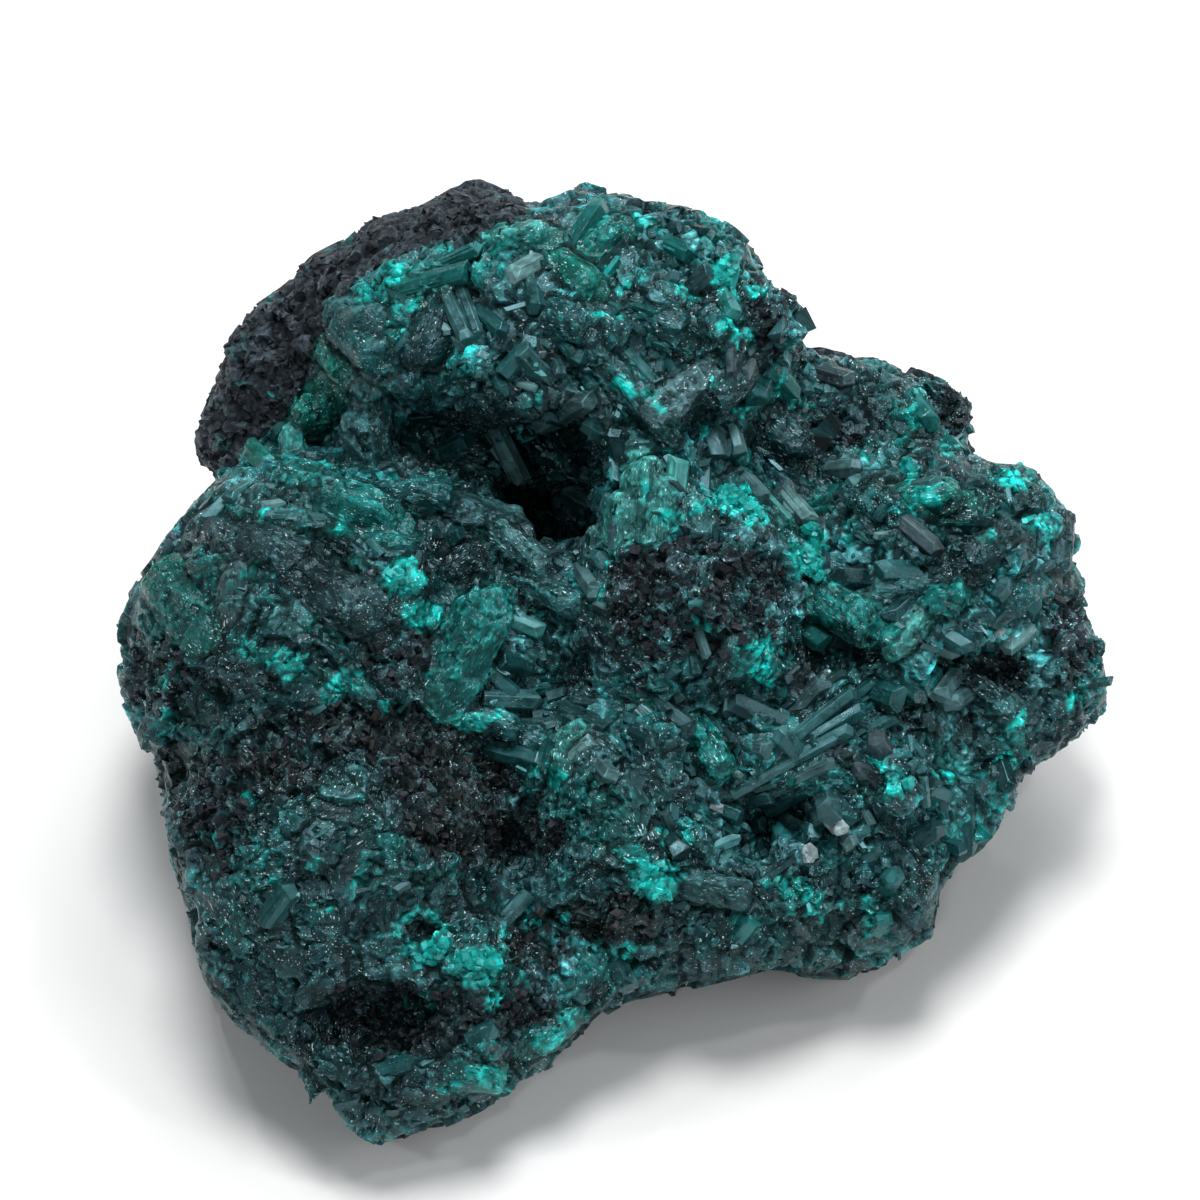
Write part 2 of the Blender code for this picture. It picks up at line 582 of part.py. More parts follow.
def centre(nodes):
    """Moves the meshes so that the middle of the base of their box is the origin."""
    points = [v.co for node in nodes for v in node.data.vertices]
    low = [min(p[i] for p in points) for i in range(3)]
    high = [max(p[i] for p in points) for i in range(3)]
    shift = Vector((-(low[0] + high[0]) / 2, -(low[1] + high[1]) / 2, -low[2]))
    for node in nodes:
        node.data.transform(Matrix.Translation(shift))
    print("centred by", [round(value / MM, 3) for value in shift])
    print("size", [round((high[i] - low[i]) / MM, 2) for i in range(3)])


def main():
    for obj in list(bpy.data.objects):
        bpy.data.objects.remove(obj, do_unlink=True)
    specimen = new_collection("dioptase_specimen")
    cutters = new_collection("cutters", hidden=True)
    body = build_body(cutters)
    _, bigger = build_matrix(body, specimen, cutters)
    build_crusts(body, bigger, specimen, cutters)
    nodes = list(specimen.objects)
    centre(nodes)
    for node in nodes:
        node.data.calc_loop_triangles()
        print(node.name, len(node.data.loop_triangles), "triangles")


main()
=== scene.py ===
import json
import math
import random

import bmesh
import bpy
import numpy as np
from mathutils import Matrix, Vector, noise
from mathutils.bvhtree import BVHTree

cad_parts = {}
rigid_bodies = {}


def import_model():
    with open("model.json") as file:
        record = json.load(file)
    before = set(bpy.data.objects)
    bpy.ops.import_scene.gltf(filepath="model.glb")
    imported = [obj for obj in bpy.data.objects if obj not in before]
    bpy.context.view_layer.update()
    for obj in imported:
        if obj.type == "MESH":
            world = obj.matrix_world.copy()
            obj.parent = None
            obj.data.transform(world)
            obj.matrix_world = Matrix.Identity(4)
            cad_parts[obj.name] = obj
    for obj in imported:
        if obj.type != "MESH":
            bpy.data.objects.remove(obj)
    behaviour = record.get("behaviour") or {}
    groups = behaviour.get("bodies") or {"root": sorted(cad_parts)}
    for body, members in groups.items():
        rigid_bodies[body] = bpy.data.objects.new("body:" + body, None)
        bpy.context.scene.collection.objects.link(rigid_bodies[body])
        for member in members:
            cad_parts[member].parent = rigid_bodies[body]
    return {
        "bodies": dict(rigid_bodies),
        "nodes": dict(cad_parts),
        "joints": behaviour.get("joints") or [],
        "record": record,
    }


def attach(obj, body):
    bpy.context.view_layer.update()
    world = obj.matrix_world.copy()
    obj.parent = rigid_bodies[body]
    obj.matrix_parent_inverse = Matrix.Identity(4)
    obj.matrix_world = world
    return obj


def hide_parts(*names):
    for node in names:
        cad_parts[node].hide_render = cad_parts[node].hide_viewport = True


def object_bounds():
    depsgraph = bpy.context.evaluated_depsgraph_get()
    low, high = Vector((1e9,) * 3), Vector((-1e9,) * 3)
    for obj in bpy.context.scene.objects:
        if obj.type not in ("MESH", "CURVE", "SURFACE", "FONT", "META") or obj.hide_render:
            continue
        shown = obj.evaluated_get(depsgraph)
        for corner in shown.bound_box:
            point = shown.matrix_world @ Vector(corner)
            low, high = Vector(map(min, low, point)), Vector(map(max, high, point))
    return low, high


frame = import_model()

cadBox = [list(corner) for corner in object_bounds()]
mm = 0.001

# Places are given in millimetres as seen by the camera: across, up and toward it
view = {
    "elevation": 50.0,
    "distance": 500.0,
    "faceHeight": 24.5,
    "shift": (0.055, -7.407, 0.0),  # from the place the rock is built at to its place on the base
    "lens": 187.5,
    "frameShift": (-0.0108, 0.0508),
}
tilt = math.radians(view["elevation"])
acrossWay = Vector((1, 0, 0))
upWay = Vector((0, math.sin(tilt), math.cos(tilt)))
towardWay = Vector((0, -math.cos(tilt), math.sin(tilt)))
faceMiddle = Vector((0, 0, view["faceHeight"]))
baseShift = Vector(view["shift"]) * mm
viewTurn = np.array((acrossWay, upWay, towardWay))
viewMatrix = Matrix((acrossWay, upWay, towardWay)).transposed().to_4x4()


def place(across, up, toward):
    shrink = 1 - toward / view["distance"]
    return (faceMiddle + (acrossWay * across + upWay * up) * shrink + towardWay * toward) * mm


def seen(points):  # across, up and toward of world points, one row each
    local = (np.asarray(points) / mm - np.array(faceMiddle)) @ viewTurn.T
    local[:, :2] /= (1 - local[:, 2:3] / view["distance"])
    return local


def newObject(name, data):
    obj = bpy.data.objects.new(name, data)
    bpy.context.scene.collection.objects.link(obj)
    return obj


def meshFrom(bm, name):
    mesh = bpy.data.meshes.new(name)
    bmesh.ops.recalc_face_normals(bm, faces=bm.faces)
    bm.to_mesh(mesh)
    bm.free()
    return mesh


def bake(obj):
    graph = bpy.context.evaluated_depsgraph_get()
    mesh = bpy.data.meshes.new_from_object(obj.evaluated_get(graph))
    obj.modifiers.clear()
    obj.data = mesh


def remesh(obj, voxel, smoothing):
    modifier = obj.modifiers.new("Fuse", "REMESH")
    modifier.mode = "VOXEL"
    modifier.voxel_size = voxel * mm
    if smoothing:
        wear = obj.modifiers.new("Wear", "SMOOTH")
        wear.factor = 0.5
        wear.iterations = smoothing
    bake(obj)


def boolean(obj, other, operation):
    modifier = obj.modifiers.new("Cut", "BOOLEAN")
    modifier.operation = operation
    modifier.solver = "EXACT"
    modifier.use_self = True
    modifier.object = other
    bake(obj)
    bpy.data.objects.remove(other)


# The body of the rock, from the same masses and hollows as the solids
body = {
    "voxel": 1.0,
    "lumpHeight": 0.9,
    "lumpSize": 5.5,
    "outline": (
        (-33.5, 17.5), (-32, 20.5), (-31, 23.5), (-30.5, 25.5), (-28.5, 28), (-25.5, 30), (-24, 32),
        (-21, 33.5), (-19, 35), (-15, 36), (-12.5, 37.5), (-11, 38.5), (-9.5, 37.5), (-6.5, 36),
        (-3.5, 37), (-2, 38), (0, 37.5), (3.5, 36), (5.5, 36), (8.5, 35), (10.5, 33.5), (11.5, 31.5),
        (13, 28.5), (14.5, 26), (15, 24.5), (16.5, 24.8), (18, 24), (20, 24.3), (22, 23.5), (24, 23),
        (26.5, 22), (28.5, 20.5), (28.7, 18), (28.2, 16.6), (29.5, 15.3), (33, 15.2), (34.5, 14.2),
        (36, 12), (36.3, 9), (36.5, 7), (37, 5), (37.7, 3), (38.5, 0.5), (39.3, -2.5), (39, -4),
        (36, -6.5), (33, -8.5), (31.5, -11), (30.5, -13), (29, -15), (27, -16), (25.5, -18.5),
        (25.7, -20), (25, -22), (23.5, -22.5), (21.5, -24.5), (20, -25), (15.5, -25), (13, -24),
        (9.5, -25), (5, -26), (0.5, -26.8), (-0.5, -27.5), (-1.5, -28), (-3, -29.5), (-5, -32),
        (-7, -33.2), (-9, -34.5), (-11, -35.7), (-14, -37), (-17, -38), (-18.5, -38.5), (-20.5, -37.5),
        (-21.5, -36), (-22.5, -34), (-25, -32.5), (-27, -31), (-30, -28.5), (-32, -26), (-33, -23),
        (-33.5, -20), (-35, -15.5), (-35.5, -12), (-36.5, -10), (-37, -7.5), (-38, -5), (-39, -3),
        (-39.3, -1), (-39, 0.5), (-39.3, 2.5), (-38.8, 4), (-38, 6), (-36.3, 8), (-35.5, 9.5),
        (-33.5, 12), (-31.5, 14), (-30.5, 14.8), (-31.3, 15.5), (-32.5, 16),
    ),
    "masses": (  # middle (across, up, toward) and half sizes the same ways
        ((-4, 3, -20), (27, 24, 19)), ((4, -8, -16), (26, 16, 14)), ((0, 12, -30), (22, 12, 13)),
        ((-22, -2, -7), (18, 18, 13)), ((-22, -18, -1), (15, 17, 12)), ((-18, -28, 2), (13, 12, 9)),
        ((-26, 9, -12), (12, 8, 10)), ((-12, 9.5, -9), (10, 5.5, 9)), ((-33, 0, -12), (7.5, 10, 10)),
        ((-30, -16, -8), (7.5, 13, 9)), ((-22, 24, -24), (12, 11, 13)), ((-28, 18.5, -24), (7, 5.5, 9)),
        ((-13, 30, -22), (11, 9.5, 12)), ((-4, 22, -13), (18, 16.5, 13)), ((6, 27, -14), (10, 10, 11)),
        ((-14, 24, -12), (10, 10, 10)), ((6, 4, -7), (12, 11, 12)), ((4, 13, -8), (6, 5, 8)),
        ((0, -14, -3), (9, 13, 10)), ((14, -12, -7), (14, 13, 11)), ((21, -17, -7), (7.5, 9, 9)),
        ((26, -10, -10), (8, 8, 8)), ((8, -20, -4), (11, 8, 8)), ((-6, -26, -2), (9, 9, 8)),
        ((24, 4, -12), (14, 13, 12)), ((31, -1, -12), (9.5, 9, 10)), ((30, 8, -14), (8, 9, 9)),
        ((20, -3, -10), (11, 10, 11)), ((19, 16, -22), (11, 9.5, 11)), ((23, 18.5, -22), (7.5, 6, 8)),
    ),
    "hollows": (
        ((-5.4, 14.4, -5), (5.6, 5.6, 15)), ((-4.6, 12, -9), (4.2, 4.4, 9)),
        ((-12.5, 17.6, -3), (6.5, 3.2, 9)), ((-6.5, -8.5, 10), (2.4, 8.5, 8)),
        ((-8, -15, 6), (2.2, 3.2, 9)), ((-12, 8.3, 3), (3, 1.5, 7)), ((17, 1.2, 2), (3.4, 1.5, 7)),
        ((29.5, -0.8, -1), (3.2, 1.6, 7)), ((27.5, 10.6, -2), (2.4, 1.6, 6)),
        ((13, -13.5, 5), (5.5, 3.6, 6)), ((-18.5, -28.8, 11), (6.5, 3.4, 6)),
        ((-33.2, -3.4, 0), (1.5, 1.6, 6)), ((-23, 7.5, 6), (2.6, 1.8, 5)),
        ((-27, -5.6, 8), (1.6, 1.2, 5)), ((-35.3, -9, -2), (1.8, 1.8, 6)),
    ),
}


def ellipsoids(table, name):
    bm = bmesh.new()
    for middle, halves in table:
        size = Matrix.Diagonal((*[half * mm for half in halves], 1))
        bmesh.ops.create_icosphere(bm, subdivisions=3, radius=1.0,
                                   matrix=Matrix.Translation(place(*middle)) @ viewMatrix @ size)
    return newObject(name, meshFrom(bm, name))


def sightPrism(outline, near, far, name):  # an outline swept along the lines of sight
    bm = bmesh.new()
    front = bm.faces.new([bm.verts.new(place(across, up, near)) for across, up in outline])
    swept = bmesh.ops.extrude_face_region(bm, geom=[front])
    verts = [v for v in swept["geom"] if isinstance(v, bmesh.types.BMVert)]
    for vert, (across, up, _) in zip(verts, seen([v.co for v in verts])):
        vert.co = place(across, up, far)
    return newObject(name, meshFrom(bm, name))


def roughen(mesh, height, size, seed):
    shift = Vector((seed * 3.1, seed * 1.7, seed * 2.3))
    normals = [v.normal.copy() for v in mesh.vertices]
    for vert, normal in zip(mesh.vertices, normals):
        spot = vert.co / (size * mm) + shift
        lump = noise.noise(spot) + 0.5 * noise.noise(spot * 2.1) + 0.3 * noise.cell(spot * 1.4)
        vert.co += normal * (lump * height * mm)
    mesh.update()


def ground(depth=60):
    bm = bmesh.new()
    where = Matrix.Translation((0, 0, -depth / 2 * mm)) @ Matrix.Diagonal((0.3, 0.3, depth * mm, 1))
    bmesh.ops.create_cube(bm, size=1.0, matrix=where)
    return newObject("ground", meshFrom(bm, "ground"))


rock = ellipsoids(body["masses"], "rock")
remesh(rock, body["voxel"], 0)
boolean(rock, ellipsoids(body["hollows"], "hollows"), "DIFFERENCE")
remesh(rock, body["voxel"], 2)
roughen(rock.data, body["lumpHeight"], body["lumpSize"], 1)
boolean(rock, sightPrism(body["outline"], 45, -75, "outline"), "INTERSECT")
remesh(rock, body["voxel"], 1)
rock.data.calc_loop_triangles()
rockTree = BVHTree.FromPolygons([v.co for v in rock.data.vertices],
                                [tuple(t.vertices) for t in rock.data.loop_triangles])
print("rock body:", len(rock.data.polygons), "faces")
boolean(rock, ground(), "DIFFERENCE")
print("base cut flat")

# Fields over the front face: where the crusts meet, and what lies where
crust = {
    "back": -19.0,
    "lowest": 2.6,
    "region": (
        (-45, 17), (-32, 15.1), (-30.3, 15.6), (-29, 17.3), (-27, 18.6), (-26, 20), (-24.6, 22.5),
        (-23.6, 25.5), (-22.2, 28), (-20.5, 30.4), (-17, 32.5), (-12, 33.8), (-9, 34.2), (-7, 35.8),
        (-5, 45), (50, 45), (50, -50), (-45, -50),
    ),
    "crownLeft": ((-60, 20), (-31, 14.9), (-25, 16.2), (-20, 14.6), (-12, 14.4), (-6, 11.6), (-4, 9.4)),
    "crownFront": ((-4, 9.4), (-1, 12.4), (0.2, 16.4), (6.3, 17)),
    "crownRight": ((6.3, 17), (12.6, 17.6), (14.6, 21), (15.6, 24.5), (20, 60)),
    "leftFront": ((-4, 9.4), (-2.6, 4.6), (-4.6, 0), (-5, -4), (-6.2, -10), (-8.6, -16), (-9, -21),
                  (-5.5, -25.4), (10, -50)),
    "frontRight": ((6.3, 17), (10.4, 14.4), (13.6, 10.8), (14.2, 7), (15, 2.5), (14.4, -0.5),
                   (20.4, -6.4), (27, -8), (60, -26)),
    "skin": 0.7,  # thickness of the crusts' ground
    "skinKept": 0.55,  # share of the faces kept on its hidden side
    "rockKept": 0.52,  # and on the rock beneath it
    "rockSink": 1.0,  # how far the rock lies below the crusts
}
areas = {
    "crown_crystals": crust["crownLeft"] + crust["crownFront"][1:] + crust["crownRight"][1:] + ((-60, 90),),
    "left_crystals": crust["crownLeft"] + crust["leftFront"][1:] + ((-60, -90),),
    "front_crystals": crust["leftFront"] + ((60, -50),) + crust["frontRight"][::-1]
    + crust["crownFront"][::-1][1:-1],
    "right_crystals": crust["frontRight"] + ((90, 60),) + crust["crownRight"][::-1][:-1],
}


def insideOf(across, up, outline):
    inside = np.zeros(len(across), bool)
    for (x0, y0), (x1, y1) in zip(outline, outline[1:] + outline[:1]):
        if y0 != y1:
            inside ^= ((y0 > up) != (y1 > up)) & (across < x0 + (up - y0) * (x1 - x0) / (y1 - y0))
    return inside


def edgeDistance(across, up, outline):
    nearest = np.full(len(across), 1e9)
    for (x0, y0), (x1, y1) in zip(outline, outline[1:] + outline[:1]):
        dx, dy = x1 - x0, y1 - y0
        along = np.clip(((across - x0) * dx + (up - y0) * dy) / (dx * dx + dy * dy), 0, 1)
        nearest = np.minimum(nearest, np.hypot(across - x0 - along * dx, up - y0 - along * dy))
    return nearest


def crustDepth(points):  # how far inside the crusts' region, in mm; negative outside
    local = seen(points)
    across, up = local[:, 0], local[:, 1]
    outline = crust["region"]
    depth = edgeDistance(across, up, outline) * np.where(insideOf(across, up, outline), 1, -1)
    return np.minimum(np.minimum(depth, local[:, 2] - crust["back"]),
                      np.asarray(points)[:, 2] / mm - crust["lowest"])


def crustNumber(points):  # 0 to 3 in the order of areas, -1 on the bare rock
    local = seen(points)
    number = np.full(len(local), -1)
    inside = crustDepth(points) > 0
    for order, outline in enumerate(areas.values()):
        number[insideOf(local[:, 0], local[:, 1], outline) & inside] = order
    return number


def hashed(cells, seed):  # one number from 0 to 1 for each row of whole numbers
    key = cells * np.array((73856093, 19349663, 83492791))
    key = (key[:, 0] ^ key[:, 1] ^ key[:, 2]) + seed * 9176
    key = (key ^ (key >> 13)) * 1274126177 & 0xffffffff
    key = (key ^ (key >> 15)) * 2246822519 & 0xffffffff
    return ((key ^ (key >> 16)) & 0xffff) / 65535.0


def lattice(points, size, seed):  # smooth noise from 0 to 1, points in metres and size in mm
    spot = np.asarray(points) / (size * mm) + seed * 17.3
    cell = np.floor(spot).astype(np.int64)
    part = spot - cell
    part = part * part * (3 - 2 * part)
    total = 0
    for corner in range(8):
        step = np.array((corner & 1, corner >> 1 & 1, corner >> 2 & 1))
        share = np.prod(np.where(step, part, 1 - part), axis=1)
        total = total + share * hashed(cell + step, seed)
    return total


def patchField(points, ovals, soft):  # 1 inside the patches, 0 outside, ragged between
    local = seen(points)
    across, up = (local[:, side] + 1.3 * (lattice(points, 1.1, 3 + 2 * side) - 0.5)
                  + 0.8 * (lattice(points, 0.45, 4 + 2 * side) - 0.5) for side in range(2))
    field = np.zeros(len(local))
    for across0, up0, halfAcross, halfUp, *turned in ovals:
        turn = math.radians(turned[0]) if turned else 0.0
        x, y = across - across0, up - up0
        along = (x * math.cos(turn) + y * math.sin(turn)) / halfAcross
        aside = (y * math.cos(turn) - x * math.sin(turn)) / halfUp
        out = (np.hypot(along, aside) - 1) * min(halfAcross, halfUp)
        field = np.maximum(field, np.clip(0.5 - out / (2 * soft), 0, 1))
    return field


# Patches on the front face: middle (across, up), half sizes, turn in degrees
patches = {
    "turquoise": (
        (-16.8, 6.6, 1.6, 1.6), (-15.3, 3.8, 1.8, 1.1), (-25.5, -0.3, 1.7, 0.9), (-21.5, -1.8, 1.8, 0.9),
        (-22.5, -3, 0.7, 0.6), (-18.3, -3.8, 0.6, 0.8), (-28.5, 0.8, 2.5, 0.5, -35), (-29.8, 0.6, 0.6, 0.5),
        (-11.5, -5, 1.2, 0.9), (-10, -4.3, 1.2, 0.4), (-15.3, -23.3, 1.7, 0.9), (-13.6, -22.7, 0.6, 1),
        (-11, -24.3, 2.4, 1.7), (-9.6, -26.3, 0.8, 1.4), (-16, -27.3, 0.8, 0.5), (-14.8, -27.2, 0.4, 0.8),
        (-35.9, -1.5, 0.5, 1), (-35.7, -4.3, 0.5, 0.4), (-23.8, -16.2, 0.5, 0.5), (-22.4, -19.7, 0.4, 0.4),
        (-27.2, -17.5, 0.3, 0.3), (-32.4, -14.2, 0.7, 0.5), (-29.5, -11, 0.4, 0.5), (-29.8, -18.2, 0.7, 0.6),
        (-14.8, -20.3, 0.8, 0.4), (-14, -21, 0.4, 0.4), (-16.8, -21, 1.2, 0.5, 30), (-4.5, -29.8, 2.2, 0.8, 40),
        (-9.8, -33.2, 1.6, 1.3), (-13.3, -34, 1.2, 0.25), (-10, -31, 0.6, 0.3), (-6.6, -21, 0.3, 0.9),
        (-3.8, -20.9, 0.25, 0.7), (-8.9, -22.8, 0.3, 1.2), (-7.1, -25.5, 0.35, 0.4), (1, -23.3, 0.6, 0.5),
        (3.6, -17.3, 1.7, 1.6), (1.5, -15.5, 1.5, 1.2), (4, -14.3, 0.5, 0.8), (-4.6, -9.2, 0.8, 0.8),
        (-6.5, -9.9, 0.4, 0.3), (6.1, -13.8, 0.45, 0.65), (10.5, -21.3, 1, 1.1), (14.5, -18.3, 2.4, 0.7, -20),
        (16.3, -19, 0.9, 0.5), (13.9, -19.7, 0.4, 0.4), (20.3, -19.7, 0.8, 0.5), (21.3, -21.3, 0.8, 1.1, 50),
        (16.3, -20.3, 0.8, 0.4), (21.2, -8.3, 0.7, 0.5), (22.5, -10.3, 0.9, 0.5, -30), (12, 1, 1.3, 0.9),
        (12.5, -1, 1.1, 0.8), (12, 2, 0.3, 0.5), (7, 3, 0.8, 0.5, -50), (10.4, 9.4, 0.3, 0.2),
        (9.7, 12.7, 1.9, 1.0), (11.3, 11.6, 0.7, 0.9), (6.6, 12.3, 0.6, 0.7), (4.5, 11.4, 1, 0.6),
        (2.5, 13.6, 0.3, 0.4), (15.2, 8, 1.2, 0.9, -40), (16.6, 9.6, 0.35, 1.1), (17.5, 6.7, 0.6, 0.4),
        (-1.1, 7.9, 0.7, 0.55), (-1.5, 5.2, 0.6, 0.6), (16.9, 3.2, 0.6, 0.3), (24.8, 13, 1.6, 1),
        (23.3, 11.8, 0.5, 0.35), (25.7, 10.9, 0.5, 0.3), (29.8, 9.9, 0.5, 0.6), (34.3, 10.9, 0.9, 0.5),
        (34.8, 9.7, 0.2, 0.5), (23.7, 15, 0.5, 0.8), (26.8, 17.2, 0.7, 0.8), (24.2, 19.6, 0.6, 1.4),
        (25.6, 18.8, 0.6, 0.4), (31.8, 14.6, 1.5, 0.5), (32.3, -4.9, 0.6, 1), (36.4, -3.2, 0.5, 0.6),
        (37.5, -2.6, 0.6, 0.6), (31.5, -7.8, 0.8, 1), (26.4, -9.1, 0.4, 0.6), (-17.8, 30.9, 1.1, 0.7),
        (-19.5, 29.5, 1, 0.7), (-17.2, 31.3, 0.8, 0.4), (-16.2, 28.2, 0.9, 0.25), (-9, 33.2, 0.9, 0.4),
        (-0.5, 31.6, 0.4, 0.6), (0.6, 30.2, 0.4, 0.3), (2.5, 30.6, 0.3, 0.25), (-1, 27.8, 0.5, 0.4),
        (0.2, 27.7, 0.5, 0.2), (5.7, 29.7, 1.2, 0.7), (8.9, 31, 1.2, 1.1), (9, 28.6, 0.5, 1.4),
        (9.3, 27, 0.8, 0.5, -40), (10.4, 25.9, 0.6, 0.5), (11.2, 29.5, 0.6, 0.7), (0.7, 22, 0.9, 0.6),
        (3.4, 20.8, 0.9, 0.5, -30), (-2.4, 21, 0.6, 0.35), (1.8, 23.5, 0.3, 0.4), (8.4, 22.3, 0.35, 0.5),
        (10.3, 20, 0.9, 0.45), (14, 22, 0.7, 1), (-27.3, 11.8, 1.3, 0.5), (-22.1, 10.7, 0.7, 0.5),
        (-20.9, 7.9, 0.7, 0.3), (-29.6, 13.9, 0.4, 0.2), (-32.3, 12.9, 0.6, 0.3), (-29.3, 7.3, 0.5, 0.3),
        (-27.6, 21.7, 0.35, 0.2), (-23, 15.7, 0.5, 0.3),
    ),
    "teal": (
        (-30.2, -20.5, 0.8, 2.4), (-2, -12, 4.5, 3.2, -30), (11, 0, 1.5, 2.5), (-14, 30, 3.5, 0.7, 12),
        (-12.5, 32.2, 2.6, 0.7, 12), (-1, 35, 2.6, 1.6), (8, 34.5, 1.6, 1.3), (-6.8, 33.6, 1.4, 0.7),
        (-25.5, 17.6, 1.5, 0.6), (-28.3, 16.6, 1.2, 0.5), (-35, 4, 3.3, 3), (-30.3, 5.8, 1.1, 1.2),
    ),
    "granular": (
        (6.5, 5, 7.5, 5), (-20, -5.5, 5, 2.2), (-13, -9, 5.5, 3.5), (-11.5, -13.5, 5, 3),
        (-6, -12.5, 2.5, 3), (-17, 1, 3, 2.5), (-28, -8.5, 4.5, 2.2), (-32, -12.5, 2.6, 4.5),
        (0.5, -20.5, 4.5, 2.2), (-6, -22.5, 3, 2), (-9, -28, 5, 1.6), (-36.5, -1.5, 2.5, 3),
        (-18, -28.5, 6, 3), (36.5, 1.5, 1.8, 3.5), (30.5, -1, 3, 1.5), (17.5, 18, 2.5, 1.6),
        (27.5, 20.5, 1.5, 2.5), (12.3, 28, 1.6, 3),
    ),
    "brown": (
        (-20, -5.5, 4, 1.6), (-13, -9, 4, 2.5), (-11.5, -13.5, 4, 2), (0.5, -20.5, 4.5, 2), (-6, -22.5, 3, 2),
        (-28, -8.5, 3, 1.5),
    ),
    # painted shade: patches darkened in the hollow under the crown and other shaded spots
    "dark": (
        (-8, 17, 8, 4), (-5, 11.5, 3.5, 3.5), (-17.5, 18, 4, 2), (10.5, 7, 2, 2), (3, 6.5, 2, 2),
        (-18, -28.5, 6, 3), (0, 3, 3, 3),
    ),
    "busy": (  # where small crystals stand close
        (-2, 22, 14, 6), (12, -14, 9, 5), (16, -6, 6, 4), (-8, -3, 4, 5), (24, 2, 9, 6), (12, 16, 5, 3),
        (-6, 8, 5, 3), (30, 10, 6, 4),
    ),
    "fine": (  # only small crystals here
        (-24, -18, 16, 21), (-16, -30, 12, 10), (12, -21, 14, 4.5), (-2, -14, 6, 8), (-31, 2, 9, 9),
        (0, 24.5, 2, 1), (22, 20, 7, 3),
    ),
}

# Colours of the crystals and the rock, and how frosted each is, which also sets the strength of its painted
# glint strokes
tones = {
    "ink": ((0.003, 0.026, 0.03), 0.08), "deep": ((0.006, 0.062, 0.066), 0.14),
    "slateTeal": ((0.018, 0.06, 0.068), 0.35), "greyTeal": ((0.022, 0.098, 0.104), 0.32),
    "grey": ((0.05, 0.115, 0.125), 0.45), "pale": ((0.1, 0.21, 0.215), 0.55),
    # a near-white tone, a painted highlight standing in for glints on crystals
    "glintWhite": ((0.28, 0.34, 0.36), 0.8), "mist": ((0.03, 0.2, 0.185), 0.55),
    "teal": ((0.004, 0.13, 0.122), 0.2), "emerald": ((0.003, 0.122, 0.1), 0.15),
    "bright": ((0.002, 0.37, 0.335), 0.25), "streaked": ((0.024, 0.09, 0.1), 0.5),
    "brown": ((0.0145, 0.0145, 0.0135), 0.3), "plum": ((0.013, 0.0165, 0.0215), 0.45),
    "black": ((0.008, 0.011, 0.014), 0.1), "slate": ((0.022, 0.031, 0.038), 0.3),
}

